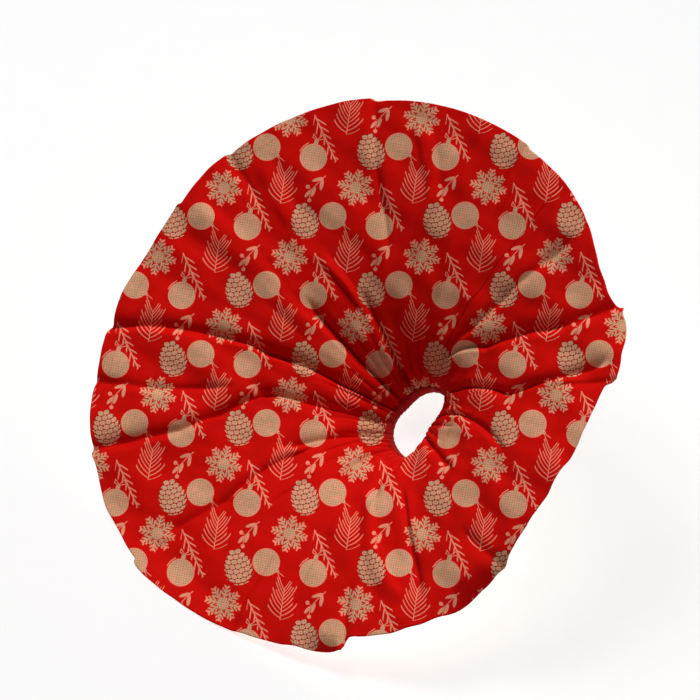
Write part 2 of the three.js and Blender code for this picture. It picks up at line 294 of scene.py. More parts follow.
def meridian_table():
    """Distance along the cloth, point and direction of the trumpet's section, closely spaced."""
    neck, rim = np.array((HOLE_RADIUS, -NECK_DEPTH)), np.array((RIM_RADIUS, 0.0))
    bend = np.array((BEND_RADIUS, -BEND_DEPTH))
    a, b = neck + (bend - neck) * NECK_STRAIGHT, rim + (bend - rim) * FLARE_STRAIGHT
    t = np.linspace(0, 1, MERIDIAN_STEPS)[:, None]
    point = (1 - t) ** 3 * neck + 3 * (1 - t) ** 2 * t * a + 3 * (1 - t) * t * t * b + t**3 * rim
    course = (1 - t) ** 2 * (a - neck) + 2 * t * (1 - t) * (b - a) + t * t * (rim - b)
    course /= np.linalg.norm(course, axis=1)[:, None]
    along = np.concatenate([[0], np.cumsum(np.linalg.norm(np.diff(point, axis=0), axis=1))])
    return along, point, course


MERIDIAN = meridian_table()
CLOTH_LENGTH = float(MERIDIAN[0][-1])
MOUTH_AXIS = np.array(
    (math.sin(LEAN) * math.cos(LEAN_TOWARDS), math.sin(LEAN) * math.sin(LEAN_TOWARDS), math.cos(LEAN))
)
MOUTH_X = np.array((1.0, 0, 0)) - MOUTH_AXIS[0] * MOUTH_AXIS
MOUTH_X /= np.linalg.norm(MOUTH_X)
MOUTH_Y = np.cross(MOUTH_AXIS, MOUTH_X)
MOUTH_TURN = np.stack([MOUTH_X, MOUTH_Y, MOUTH_AXIS])


def on_meridian(along):
    """Radius, height, and the two parts of the direction of the section at a distance along the cloth."""
    table, point, course = MERIDIAN
    inside = np.clip(along, 0, CLOTH_LENGTH)
    radius, height, out, up = (np.interp(inside, table, values) for values in (*point.T, *course.T))
    return radius + out * (along - inside), height + up * (along - inside), out, up


def radius_at(along):
    return on_meridian(np.asarray(along, float))[0]


def angle_between(angle, centre):
    return (angle - centre + 180) % 360 - 180


def swing(angle, times, start):
    return np.sin(np.radians(times * angle + start))


def ripples(along, angle):
    """Small irregular ripples: a few plane waves over the flat cut."""
    random = np.random.default_rng(RIPPLE_SEED)
    radius = HOLE_RADIUS + along
    x, y = radius * np.cos(np.radians(angle)), radius * np.sin(np.radians(angle))
    total = np.zeros_like(x)
    for length in RIPPLES_MM:
        heading, phase = random.uniform(0, 2 * math.pi, 2)
        wave = 2 * math.pi / (length * MM)
        height = length / RIPPLE_MIDDLE
        total += np.sin(wave * (x * math.cos(heading) + y * math.sin(heading)) + phase) * height
    return total


def gather(along, angle, number):
    """Fine gathers round the neck: rounded bulges with thin creases between them, from 0 to -1."""
    uneven = angle + sum(drift * swing(angle, *turns) for drift, turns in GATHER_DRIFT)
    uneven += GATHER_WANDER * (along / CLOTH_LENGTH) * swing(angle, 5, 0)
    crease = (1 - np.abs(np.sin(np.radians(uneven * number / 2)))) ** GATHER_POWER
    mean, differ = GATHER_STRENGTH
    strength = mean + differ * swing(angle, 4, 60) * np.cos(np.radians(9 * angle))
    mean, differ, fading = GATHER_REACH
    reach = mean + differ * swing(angle, number / 5, 30)
    fade = 1 - smooth((along / MM - reach + fading) / fading)
    held = GATHER_LEAST + (1 - GATHER_LEAST) * smooth(along / GATHER_START)
    return -crease * strength * fade * held


def share_away(angle, place):
    """How far an angle is from a wave, curl or press: 0 at its middle, and 1 from its edges on."""
    return np.clip(np.abs(angle_between(angle, place.angle)) / place.half, 0, 1)


def hump(away):
    return 0.5 + 0.5 * np.cos(math.pi * away)


def fold_push(fold, along, angle, radius):
    """How far one fold moves the cloth in front of its face, outwards and sideways, for its full depth."""
    places, angles = np.array(fold.angles, float).T
    angles = np.degrees(np.unwrap(np.radians(angles)))
    away = np.radians(angle_between(angle, np.interp(along / MM, places, angles))) * radius
    widen = (np.clip(radius, HOLE_RADIUS, None) / RIM_RADIUS) ** FOLD_WIDEN
    beside = np.clip(np.abs(away) / (np.where(away < 0, fold.before, fold.after) * MM * widen), 0, 1)
    beside = (np.hypot(beside, CREASE_ROUND) - CREASE_ROUND) / (math.hypot(1, CREASE_ROUND) - CREASE_ROUND)
    soft = (1 - beside**2) ** 2
    crossing = (1 - beside) ** CREASE_POWER if fold.height < 0 else soft
    strength = smooth((along - places[0] * MM) / FOLD_FADE + 0.5)
    if places[-1] * MM < CLOTH_LENGTH - FOLD_FADE / 4:
        strength = strength * (1 - smooth((along - places[-1] * MM) / FOLD_FADE + 0.5))
    near_rim = smooth((along / CLOTH_LENGTH - STEP_START) / (1 - STEP_START))
    side = np.tanh(away / STEP_EDGE) / (1 + (away / STEP_LENGTH) ** 2)
    reach = 0.5 * fold.step * MM * side * near_rim
    return fold.height * MM * crossing * strength, reach, fold.sideways * MM * soft * strength


def face_point(along, angle):
    """Where a point of the printed face comes to lie, in metres in the part's frame."""
    along, angle = np.broadcast_arrays(np.asarray(along, float), np.asarray(angle, float))
    sizes = bpy.context.scene.skirt_sizes
    share = along / CLOTH_LENGTH
    radius = radius_at(along)
    swell = smooth((share - WAVE_START) / (1 - WAVE_START)) * MM
    rise, reach, sideways = np.zeros_like(along), np.zeros_like(along), np.zeros_like(along)
    for wave in WAVES:
        height = hump(share_away(angle, wave)) * swell
        rise += wave.rise * height
        reach += wave.reach * height
    for fold in FOLDS:
        forwards, outwards, over = fold_push(fold, along, angle, radius)
        rise += forwards * sizes.fold_share
        reach += outwards
        sideways += over * sizes.fold_share
    near_rim = np.clip((along - CLOTH_LENGTH) / CURL_WIDTH + 1, 0, None) ** 2
    for curl in CURLS:
        rise -= curl.depth * MM * (1 - share_away(angle, curl) ** 2) ** 2 * near_rim
    rise += gather(along, angle, sizes.gathers) * sizes.gather_depth
    rise += ripples(along, angle) * sizes.ripple * smooth(share / RIPPLE_START)
    distance, height, out, up = on_meridian(along + reach)
    distance, height = distance - up * rise, height + out * rise
    for press in PRESSES:
        distance -= press.depth * MM * hump(share_away(angle, press)) * (1 - smooth(along / PRESS_REACH))
    turn = np.radians(angle) + sideways / np.clip(radius, HOLE_RADIUS, None)
    place = np.stack([distance * np.cos(turn), distance * np.sin(turn), height], -1)
    place = place @ MOUTH_TURN + MOUTH_CENTRE
    settled = FLOOR_GAP + FLOOR_SOFT * np.logaddexp(0, (place[..., 2] - FLOOR_GAP) / FLOOR_SOFT)
    place[..., 2] = np.where(share > FLOOR_START, settled, place[..., 2])
    return place


FACING_STEP = 0.6 * MM


def facing(along, angle):
    """The direction that the printed face looks in."""
    along, angle = np.broadcast_arrays(np.asarray(along, float), np.asarray(angle, float))
    turn = np.degrees(FACING_STEP / np.clip(radius_at(along), HOLE_RADIUS / 2, None))
    outwards = face_point(along + FACING_STEP, angle) - face_point(along - FACING_STEP, angle)
    round_it = face_point(along, angle + turn) - face_point(along, angle - turn)
    normal = np.cross(outwards, round_it)
    return normal / np.linalg.norm(normal, axis=-1, keepdims=True)


def lie(along, angle, behind):
    """Where a point behind the printed face comes to lie."""
    return face_point(along, angle) - facing(along, angle) * np.asarray(behind, float)[..., None]


def across_slit(along, width):
    """The angle of a point that far beside the slit, positive on the flap's side."""
    return SLIT_ANGLE + np.degrees(np.arcsin(np.clip(width / radius_at(along), -0.9, 0.9)))


# ---------------------------------------------------------------- meshes
def quads(rows, columns, closed=False):
    """Faces of a grid numbered row by row; closed joins the last column to the first."""
    across = columns if closed else columns - 1
    row, column = np.meshgrid(np.arange(rows - 1), np.arange(across), indexing="ij")
    beside = (column + 1) % columns
    here, below = row * columns, (row + 1) * columns
    return np.stack([c.ravel() for c in (here + column, below + column, below + beside, here + beside)], -1)


LEAST_HEIGHT = 0.3 * MM  # no fibre goes through the floor


def make_piece(name, points, faces, material, uv, normals=None):
    """A smooth mesh object with the cloth's own coordinates, in metres, as its UV map."""
    points = np.array(points, float).reshape(-1, 3)
    points[:, 2] = np.maximum(points[:, 2], LEAST_HEIGHT)
    uv = np.array(uv, float).reshape(-1, 2)
    used = np.unique(np.concatenate([np.asarray(face).ravel() for face in faces]))
    renumber = np.zeros(len(points), int)
    renumber[used] = np.arange(len(used))
    mesh = bpy.data.meshes.new(name)
    mesh.from_pydata(points[used].tolist(), [], [renumber[np.asarray(face)].tolist() for face in faces])
    corners = np.zeros(len(mesh.loops), np.int32)
    mesh.loops.foreach_get("vertex_index", corners)
    layer = mesh.uv_layers.new(name="Cloth")
    layer.data.foreach_set("uv", uv[used][corners].astype(np.float32).ravel())
    mesh.polygons.foreach_set("use_smooth", np.ones(len(mesh.polygons), bool))
    if normals is not None:
        mesh.normals_split_custom_set_from_vertices(np.asarray(normals).reshape(-1, 3)[used].tolist())
    mesh.materials.append(material)
    mesh.update()
    piece = bpy.data.objects.new(name, mesh)
    bpy.context.scene.collection.objects.link(piece)
    return piece


def fold_reach():
    """Where the cloth starts and ends its bend over the fold of the flap."""
    joint = next(j for j in frame["joints"] if j["name"] == "slit_flap_fold")
    place, axis = np.array(joint["pos_m"], float), np.array(joint["axis"], float)
    middle = 0.5 * (SLIT_ANGLE + FOLD_ANGLE) + FOLD_SKEW
    across = np.cross(axis, facing(0.5 * (FOLD_INNER + CLOTH_LENGTH), middle))
    across /= np.linalg.norm(across)
    if across @ (face_point(CLOTH_LENGTH, SLIT_ANGLE) - place) < 0:
        across = -across
    return place - across * FOLD_BLEND, place + across * FOLD_BLEND


def on_flap(points, angle, along):
    """Whether cloth goes with the flap: past the start of the bend, and between it and the slit."""
    start, end = fold_reach()
    past = (np.asarray(points) - start) @ (end - start) > 0
    beside = angle_between(angle, SLIT_ANGLE)
    return past & (beside > 0) & (beside < FLAP_WIDEST) & (along > FOLD_INNER / 2)


def settle(piece, body, nodes=()):
    """Hides the part's nodes that a piece stands for, and attaches the piece to the body that it moves with;
    a piece for the flap's or the tab's bend only keeps its place.
    """
    if nodes:
        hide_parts(*nodes)
    if body == "flap_bend":
        start, end = fold_reach()
        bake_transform(piece)
    elif body == "tab_bend":
        middle = 0.5 * sum(TAB_ALONG)
        behind = 0.5 * sum(PLACKET)
        ends = [lie(middle, across_slit(middle, width), behind) for width in TAB_BEND]
        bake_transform(piece)
    else:
        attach(piece, body)
    return piece


# ---------------------------------------------------------------- nodes
MATH, VECTOR, MIX, TURN = "Math", "VectorMath", "Mix", "VectorRotate"
MIX_A, MIX_B, MIX_RESULT = 6, 7, 2  # the colour sockets of a mix node


def add(tree, kind, inputs=(), operation=None, output=0, **settings):
    """Adds a node with its settings, fills its inputs with values or links, and returns an output."""
    made = tree.nodes.new("ShaderNode" + kind)
    if operation:
        settings["operation"] = operation
    for name, value in settings.items():
        setattr(made, name, value)
    for key, value in inputs.items() if isinstance(inputs, dict) else enumerate(inputs):
        if isinstance(value, bpy.types.NodeSocket):
            tree.links.new(value, made.inputs[key])
        else:
            made.inputs[key].default_value = value
    return made.outputs[output] if len(made.outputs) else None


def start_group(name, **sockets):
    """A node group with these inputs and one float output. Returns it and its inputs."""
    tree = bpy.data.node_groups.new(name, "ShaderNodeTree")
    for label, kind in sockets.items():
        tree.interface.new_socket(label, in_out="INPUT", socket_type="NodeSocket" + kind)
    return tree, tree.nodes.new("NodeGroupInput").outputs


def end_group(tree, value, kind="Float"):
    tree.interface.new_socket("Result", in_out="OUTPUT", socket_type="NodeSocket" + kind)
    tree.links.new(value, tree.nodes.new("NodeGroupOutput").inputs[0])
    return tree


PRINT_EDGE = 0.35  # mm over which the ink's edge softens


def inside(tree, distance, edge):
    """1 where distance is under edge, 0 past it, with the ink's soft edge between."""
    low = add(tree, MATH, (distance, edge), "SUBTRACT")
    return add(tree, "MapRange", (low, -PRINT_EDGE, PRINT_EDGE, 1.0, 0.0))


def repeat_group():
    """The place of a point within the repeat of one motif, from the motif's centre, in mm."""
    tree, given = start_group("Print repeat", Point="Vector", Centre="Vector")
    half = (2 * PRINT_REPEAT[0], 2 * PRINT_REPEAT[1], 1.0)
    local = add(tree, VECTOR, (given["Point"], given["Centre"]), "SUBTRACT")
    share = add(tree, VECTOR, (local, half), "DIVIDE")
    x, y = (add(tree, "SeparateXYZ", (share,), output=k) for k in (0, 1))
    turns = []
    for operation in ("ADD", "SUBTRACT"):
        turn = add(tree, MATH, (y, x), operation)
        whole = add(tree, MATH, (turn,), "ROUND")
        turns.append(add(tree, MATH, (turn, whole), "SUBTRACT"))
    a, b = turns
    wide = add(tree, MATH, (a, b), "SUBTRACT")
    tall = add(tree, MATH, (a, b), "ADD")
    pair = add(tree, "CombineXYZ", (wide, tall, 0.0))
    result = add(tree, VECTOR, (pair, (*PRINT_REPEAT, 0.0)), "MULTIPLY")
    return end_group(tree, result, "Vector")


def stroke_group():
    """A straight stroke with round ends."""
    tree, given = start_group("Print stroke", Point="Vector", From="Vector", To="Vector", Half="Float")
    reach = add(tree, VECTOR, (given["Point"], given["From"]), "SUBTRACT")
    course = add(tree, VECTOR, (given["To"], given["From"]), "SUBTRACT")
    gone = add(tree, VECTOR, (reach, course), "DOT_PRODUCT", output=1)
    whole = add(tree, VECTOR, (course, course), "DOT_PRODUCT", output=1)
    share = add(tree, MATH, (gone, whole), "DIVIDE", use_clamp=True)
    nearest = add(tree, VECTOR, {0: course, "Scale": share}, "SCALE")
    away = add(tree, VECTOR, (reach, nearest), "DISTANCE", output=1)
    return end_group(tree, inside(tree, away, given["Half"]))


def oval_group():
    """A filled oval."""
    tree, given = start_group("Print oval", Point="Vector", Centre="Vector", Radii="Vector", Turn="Float")
    local = add(tree, VECTOR, (given["Point"], given["Centre"]), "SUBTRACT")
    turned = add(tree, TURN, {"Vector": local, "Angle": given["Turn"]}, rotation_type="Z_AXIS", invert=True)
    share = add(tree, VECTOR, (turned, given["Radii"]), "DIVIDE")
    length = add(tree, VECTOR, (share,), "LENGTH", output=1)
    short = add(tree, "SeparateXYZ", (given["Radii"],), output=1)
    away = add(tree, MATH, (length, short), "MULTIPLY")
    return end_group(tree, inside(tree, away, short))


# A frond's sizes in mm: its length, how far its needles reach sideways and stand apart, their slope, how
# much steeper they get per mm upwards, half their width, and the share by which their lengths differ.
FROND_SIZES = ("Length", "Reach", "Pitch", "Slant", "Fan", "Half", "Uneven")
FROND_TIP = 1.12  # over 1 keeps the topmost needles from vanishing
FROND_OTHER_SIDE = 31.3  # gives the needles of the left side their own random lengths


def frond_group():
    """A stem up the Y axis with thin needles on both sides, all pointing upwards and outwards."""
    tree, given = start_group("Print frond", Point="Vector", **dict.fromkeys(FROND_SIZES, "Float"))
    x, y = (add(tree, "SeparateXYZ", (given["Point"],), output=k) for k in (0, 1))
    aside = add(tree, MATH, (x,), "ABSOLUTE")
    steeper = add(tree, MATH, (y, given["Fan"], given["Slant"]), "MULTIPLY_ADD")
    lift = add(tree, MATH, (aside, steeper), "MULTIPLY")
    foot = add(tree, MATH, (y, lift), "SUBTRACT")
    left = add(tree, MATH, (x, 0.0), "LESS_THAN")
    shift = add(tree, MATH, (left, given["Pitch"]), "MULTIPLY")
    staggered = add(tree, MATH, (shift, 0.5, foot), "MULTIPLY_ADD")
    number = add(tree, MATH, (staggered, given["Pitch"]), "DIVIDE")
    nearest = add(tree, MATH, (number,), "ROUND")
    off = add(tree, MATH, (number, nearest), "SUBTRACT")
    away = add(tree, MATH, (off,), "ABSOLUTE")
    gap = add(tree, MATH, (away, given["Pitch"]), "MULTIPLY")
    # The needle's width is measured square to it.
    slope = add(tree, MATH, (steeper, steeper, 1.0), "MULTIPLY_ADD")
    steep = add(tree, MATH, (slope,), "SQRT")
    square = add(tree, MATH, (gap, steep), "DIVIDE")
    needle = inside(tree, square, given["Half"])
    gone = add(tree, MATH, (foot, given["Length"]), "DIVIDE")
    left_over = add(tree, MATH, (FROND_TIP, gone), "SUBTRACT", use_clamp=True)
    shape = add(tree, MATH, (left_over, 0.5), "POWER")
    wide = add(tree, MATH, (shape, given["Reach"]), "MULTIPLY")
    which = add(tree, MATH, (left, FROND_OTHER_SIDE, nearest), "MULTIPLY_ADD")
    chance = add(tree, "TexWhiteNoise", {"W": which}, noise_dimensions="1D")
    shorter = add(tree, MATH, (chance, given["Uneven"]), "MULTIPLY")
    shorter = add(tree, MATH, (1.0, shorter), "SUBTRACT")
    wide = add(tree, MATH, (wide, shorter), "MULTIPLY")
    needle = add(tree, MATH, (needle, inside(tree, aside, wide)), "MULTIPLY")
    for limit, side in ((1.0, "LESS_THAN"), (0.0, "GREATER_THAN")):
        within = add(tree, MATH, (gone, limit), side)
        needle = add(tree, MATH, (needle, within), "MULTIPLY")
    middle = add(tree, MATH, (given["Length"], 0.5), "MULTIPLY")
    up_stem = add(tree, MATH, (y, middle), "SUBTRACT")
    up_stem = add(tree, MATH, (up_stem,), "ABSOLUTE")
    beside_stem = inside(tree, aside, given["Half"])
    stem = add(tree, MATH, (inside(tree, up_stem, middle), beside_stem), "MULTIPLY")
    return end_group(tree, add(tree, MATH, (needle, stem), "MAXIMUM"))


# The snowflake: radius of its disc and where its arms start in mm, and an arm as a frond.
SNOW_ARMS = 8
SNOW_TURN = math.radians(-14)
SNOW_DISC = 10.3
SNOW_FOOT = 5.2
SNOW_FILL = 27.0  # past this radius the arms are line colour only
SNOW_ARM = (26.5, 9.2, 7.4, 1.0, 0.0, 1.45, 0.0)


def snowflake_group(frond):
    """A round snowflake: a disc with eight arms, each with short branches that fork towards its tip."""
    tree, given = start_group("Print snowflake", Point="Vector")
    upright = {"Vector": given["Point"], "Angle": SNOW_TURN}
    turned = add(tree, TURN, upright, rotation_type="Z_AXIS", invert=True)
    x, y = (add(tree, "SeparateXYZ", (turned,), output=k) for k in (0, 1))
    radius = add(tree, VECTOR, (turned,), "LENGTH", output=1)
    angle = add(tree, MATH, (y, x), "ARCTAN2")
    arm = add(tree, MATH, (angle, SNOW_ARMS / (2 * math.pi)), "MULTIPLY")
    nearest = add(tree, MATH, (arm,), "ROUND")
    off = add(tree, MATH, (arm, nearest), "SUBTRACT")
    off = add(tree, MATH, (off, 2 * math.pi / SNOW_ARMS), "MULTIPLY")
    off = add(tree, MATH, (off,), "ABSOLUTE")
    aside = add(tree, MATH, (add(tree, MATH, (off,), "SINE"), radius), "MULTIPLY")
    out = add(tree, MATH, (add(tree, MATH, (off,), "COSINE"), radius), "MULTIPLY")
    out = add(tree, MATH, (out, SNOW_FOOT), "SUBTRACT")
    pair = add(tree, "CombineXYZ", (aside, out, 0.0))
    arms = add(tree, "Group", {"Point": pair, **dict(zip(FROND_SIZES, SNOW_ARM))}, node_tree=frond)
    return end_group(tree, add(tree, MATH, (arms, inside(tree, radius, SNOW_DISC)), "MAXIMUM"))


# The pine cone, in mm: half its width and height, and the width and height of one scale.
CONE_HALF = (23.2, 32.0)
CONE_CELL = (10.4, 8.6)
CONE_TAPER = -0.0055  # share of its width that it loses per mm upwards
CONE_BEND = -0.008  # per mm, how much the rows of scales curve down at the sides
CONE_SAW = 5.0  # mm that its edge moves in and out with each row
CONE_LEAN = math.radians(-12)


def cone_group():
    """A pine cone: 0 outside it, 1 at the middle of a scale, and about 0.5 at a scale's edge."""
    tree, given = start_group("Print pine cone", Point="Vector")
    x, y = (add(tree, "SeparateXYZ", (given["Point"],), output=k) for k in (0, 1))
    taper = add(tree, MATH, (y, CONE_TAPER, 1.0), "MULTIPLY_ADD")
    wide = add(tree, MATH, (x, taper), "DIVIDE")
    egg = add(tree, "CombineXYZ", (wide, y, 0.0))
    egg = add(tree, VECTOR, (egg, (*CONE_HALF, 1.0)), "DIVIDE")
    egg = add(tree, VECTOR, (egg,), "LENGTH", output=1)
    away = add(tree, MATH, (egg, CONE_HALF[0]), "MULTIPLY")
    bend = add(tree, MATH, (x, x), "MULTIPLY")
    row = add(tree, MATH, (bend, CONE_BEND, y), "MULTIPLY_ADD")
    row = add(tree, MATH, (row, 1 / CONE_CELL[1]), "MULTIPLY")
    whole = add(tree, MATH, (row,), "ROUND")
    row = add(tree, MATH, (row, whole), "SUBTRACT")
    column = add(tree, MATH, (x, 1 / CONE_CELL[0]), "MULTIPLY")
    column = add(tree, MATH, (whole, 0.5, column), "MULTIPLY_ADD")
    nearest = add(tree, MATH, (column,), "ROUND")
    column = add(tree, MATH, (column, nearest), "SUBTRACT")
    cubes = []
    for part in (column, row):
        part = add(tree, MATH, (part,), "ABSOLUTE")
        cubes.append(add(tree, MATH, (part, 3.0), "POWER"))
    cell = add(tree, MATH, tuple(cubes), "ADD")
    cell = add(tree, MATH, (cell, 1 / 3), "POWER")
    tone = add(tree, "MapRange", (cell, 0.35, 0.54, 1.0, 0.14))
    saw = add(tree, MATH, (row, CONE_SAW, CONE_HALF[0]), "MULTIPLY_ADD")
    return end_group(tree, add(tree, MATH, (tone, inside(tree, away, saw)), "MULTIPLY"))


# ---------------------------------------------------------------- the print
# Each ornament's middle, or its foot, in mm from the middle of the plain bauble, across and up.
PLAIN_BALL = (0.0, 0.0)
STRING_BALL = (83.6, -18.8)
SNOWFLAKE = (41.2, 50.3)
CONE = (-50.3, -7.7)
FIR_FOOT = (24.5, -101.5)
BRANCH_FOOT = (85.9, 57.3)
BERRIES = (85.9, -74.6)
BALL_RADIUS = 24.5
BALL_OUTLINE = 1.3

# Strokes as start, end and half width, and leaves as middle, half sizes and turn in degrees, in mm.
BALL_CAP = (((14.5, -12.0), (19.5, -15.5), 3.2), ((20, -16), (24, -30), 0.6), ((20, -16), (31, -25), 0.6))
BOW = (
    ((4, 23), (5.5, 28.5), 3.8),
    ((6, 31), (-1, 36), 0.7),
    ((-1, 36), (1, 42), 0.7),
    ((1, 42), (7, 32), 0.7),
    ((7, 32), (17, 40), 0.7),
    ((17, 40), (20, 33), 0.7),
    ((20, 33), (8, 31), 0.7),
    ((-24, 12), (-18, 20), 0.9),
    ((-18, 20), (-9, 26), 0.9),
)
LEAF_STEMS = (
    ((19.5, 22.5), (8.6, 12.9), 0.8),
    ((8.6, 12.9), (-2.4, 1), 0.7),
    ((-2.4, 1), (-7.4, -6), 0.6),
    ((-7.4, -6), (-9.7, -19), 0.5),
    ((-5, -2), (-12, 3), 0.5),
)
LEAVES = (
    ((5, 16.3), (9.6, 2.8), 18),
    ((12.5, 7), (10, 3.1), 79),
    ((-2.4, -6), (9, 3), 68),
    ((-12.3, -9), (7.9, 2.8), 49),
)
BERRY_DOTS = ((-12.3, 3.4), (-9.7, -20.9))
BERRY_RADIUS = 3.6
LEAF_FILL = 0.45  # the leaves have a thinner beige

# The fir twig and the long branch: foot, turn in degrees, and their size as fronds.
SPRIGS = (
    (FIR_FOOT, -8.4, (57.0, 27.0, 7.0, 0.3, 0.021, 0.68, 0.3)),
    (BRANCH_FOOT, 204.5, (108.0, 12.5, 15.0, 1.5, 0.0, 1.15, 0.4)),
)


def print_masks(tree, flat):
    """Three layers of ink over the ground: filled ornaments, fine lines, and dark lines inside them."""
    repeat, stroke, oval, frond = repeat_group(), stroke_group(), oval_group(), frond_group()

    def local(centre):
        return add(tree, "Group", {"Point": flat, "Centre": (*centre, 0.0)}, node_tree=repeat)

    def together(masks):
        total = masks[0]
        for mask in masks[1:]:
            total = add(tree, MATH, (total, mask), "MAXIMUM")
        return total

    def strokes(point, drawn):
        ends = [{"From": (*start, 0.0), "To": (*end, 0.0), "Half": half} for start, end, half in drawn]
        return [add(tree, "Group", {"Point": point, **each}, node_tree=stroke) for each in ends]

    def ovals(point, shapes):
        sizes = [
            {"Centre": (*middle, 0.0), "Radii": (*half, 1.0), "Turn": math.radians(turn)}
            for middle, half, turn in shapes
        ]
        return [add(tree, "Group", {"Point": point, **each}, node_tree=oval) for each in sizes]

    fills, lines = [], []
    for centre, extra in ((PLAIN_BALL, BALL_CAP), (STRING_BALL, BOW)):
        point = local(centre)
        away = add(tree, VECTOR, (point,), "LENGTH", output=1)
        fills.append(inside(tree, away, BALL_RADIUS - BALL_OUTLINE))
        lines.append(inside(tree, away, BALL_RADIUS))
        marks = strokes(point, extra)
        fills.append(marks[0])
        lines += marks[1:]
    snow = add(tree, "Group", {"Point": local(SNOWFLAKE)}, node_tree=snowflake_group(frond))
    from_middle = add(tree, VECTOR, (local(SNOWFLAKE),), "LENGTH", output=1)
    disc = inside(tree, from_middle, SNOW_FILL)
    fills.append(add(tree, MATH, (snow, disc), "MULTIPLY"))
    lines.append(snow)

    leaning = add(tree, TURN, {"Vector": local(CONE), "Angle": CONE_LEAN}, rotation_type="Z_AXIS")
    cone = add(tree, "Group", {"Point": leaning}, node_tree=cone_group())
    cone_fill = add(tree, "MapRange", (cone, 0.62, 0.85, 0.0, 1.0))
    cone_line = add(tree, "MapRange", (cone, 0.36, 0.52, 0.0, 1.0))
    cone_dark = add(tree, "MapRange", (cone, 0.03, 0.12, 0.0, 1.0))
    fills.append(cone_fill)
    lines.append(cone_line)

    for foot, turn, sizes in SPRIGS:
        inputs = {"Vector": local(foot), "Angle": -math.radians(turn)}
        inputs = {"Point": add(tree, TURN, inputs, rotation_type="Z_AXIS"), **dict(zip(FROND_SIZES, sizes))}
        lines.append(add(tree, "Group", inputs, node_tree=frond))

    point = local(BERRIES)
    lines += strokes(point, LEAF_STEMS)
    lines += ovals(point, [(dot, (BERRY_RADIUS, BERRY_RADIUS), 0) for dot in BERRY_DOTS])
    leaves = together(ovals(point, LEAVES))
    lines.append(leaves)
    soft_fill = add(tree, MATH, (leaves, LEAF_FILL), "MULTIPLY")
    return together([*fills, soft_fill]), together(lines), cone_dark


def new_material(name):
    material = bpy.data.materials.new(name)
    material.use_nodes = True
    material.node_tree.nodes.clear()
    return material, material.node_tree


def finish_material(tree, colour, height, depth, roughness, specular=0.5, sheen=0.0):
    """Joins a colour, and a bump as deep as depth in metres, to a cloth shader and the output."""
    bump = add(tree, "Bump", {"Strength": 0.6, "Distance": depth, "Height": height})
    inputs = {"Base Color": colour, "Normal": bump, "IOR": 1.45, "Roughness": roughness}
    inputs |= {"Specular IOR Level": specular, "Sheen Weight": sheen}
    shader = add(tree, "BsdfPrincipled", inputs)
    add(tree, "OutputMaterial", {"Surface": shader})


def cloth_mm(tree):
    """The cloth's own coordinates, in mm."""
    flat = add(tree, "UVMap", uv_map="Cloth")
    return add(tree, VECTOR, {0: flat, "Scale": 1 / MM}, "SCALE")


def weave_height(tree, flat, spacing, turn=0.0):
    """Over-and-under threads of a plain weave: 0 between threads to 1 on their tops."""
    turned = add(tree, TURN, {"Vector": flat, "Angle": turn}, rotation_type="Z_AXIS")
    waves = []
    for k in (0, 1):
        along = add(tree, "SeparateXYZ", (turned,), output=k)
        phase = add(tree, MATH, (along, math.pi / spacing), "MULTIPLY")
        waves.append(add(tree, MATH, (phase,), "SINE"))
    crossed = add(tree, MATH, tuple(waves), "MULTIPLY")
    return add(tree, MATH, (crossed, 0.5, 0.5), "MULTIPLY_ADD")


HATCH_MM = 2.1  # the ornaments' cross hatch, drawn as coarse as it has to be to show
HATCH_TURN = math.radians(38)


def printed_cloth_material():
    """Plain-weave polyester linen with a pigment print: matt, and its threads break up the beige ink.
    The noises' scales are per mm: 0.035 is the dye's slow change, 0.13 the ink's patches, 0.55 to 0.8 the
    worn specks of the ink and of its fine lines."""
    colours = bpy.context.scene.skirt_colours
    material, tree = new_material("printed_plain_weave_polyester")
    flat = cloth_mm(tree)
    fill, line, dark = print_masks(tree, flat)
    uneven = add(tree, "TexNoise", {"Vector": flat, "Scale": 0.035, "Detail": 3.0})
    dye = add(tree, "MapRange", (uneven, 0.3, 0.7, 0.93, 1.06))
    ground = add(tree, "HueSaturation", {"Color": tuple(colours.ground), "Value": dye})
    speckle = add(tree, "TexNoise", {"Vector": flat, "Scale": 0.55, "Detail": 2.0, "Roughness": 0.6})
    inked = add(tree, "MapRange", (speckle, 0.62, 0.74, 1.0, 0.55))
    worn = add(tree, MATH, (fill, inked), "MULTIPLY")
    hatch = weave_height(tree, flat, HATCH_MM, HATCH_TURN)
    tone = add(tree, "MapRange", (hatch, 0.15, 0.85, 0.5, 1.32))
    beige = add(tree, "HueSaturation", {"Color": tuple(colours.motif), "Value": tone})
    patches = add(tree, "TexNoise", {"Vector": flat, "Scale": 0.13, "Detail": 4.0, "Roughness": 0.7})
    patches = add(tree, "MapRange", (patches, 0.46, 0.66, 0.0, 0.7))
    feather = add(tree, "TexNoise", {"Vector": flat, "Scale": 0.8, "Detail": 2.0})
    feather = add(tree, "MapRange", (feather, 0.36, 0.52, 0.45, 1.0))
    line = add(tree, MATH, (line, feather), "MULTIPLY")
    salmon = tuple(colours.outline)
    beige = add(tree, MIX, {0: patches, MIX_A: beige, MIX_B: salmon}, output=MIX_RESULT, data_type="RGBA")
    colour = ground
    for cover, ink in ((dark, tuple(colours.shade)), (line, salmon), (worn, beige)):
        colour = add(tree, MIX, {0: cover, MIX_A: colour, MIX_B: ink}, output=MIX_RESULT, data_type="RGBA")
    threads = weave_height(tree, flat, bpy.context.scene.skirt_sizes.weave_mm)
    finish_material(tree, colour, threads, 0.12 * MM, 0.86, specular=0.04)
    return material


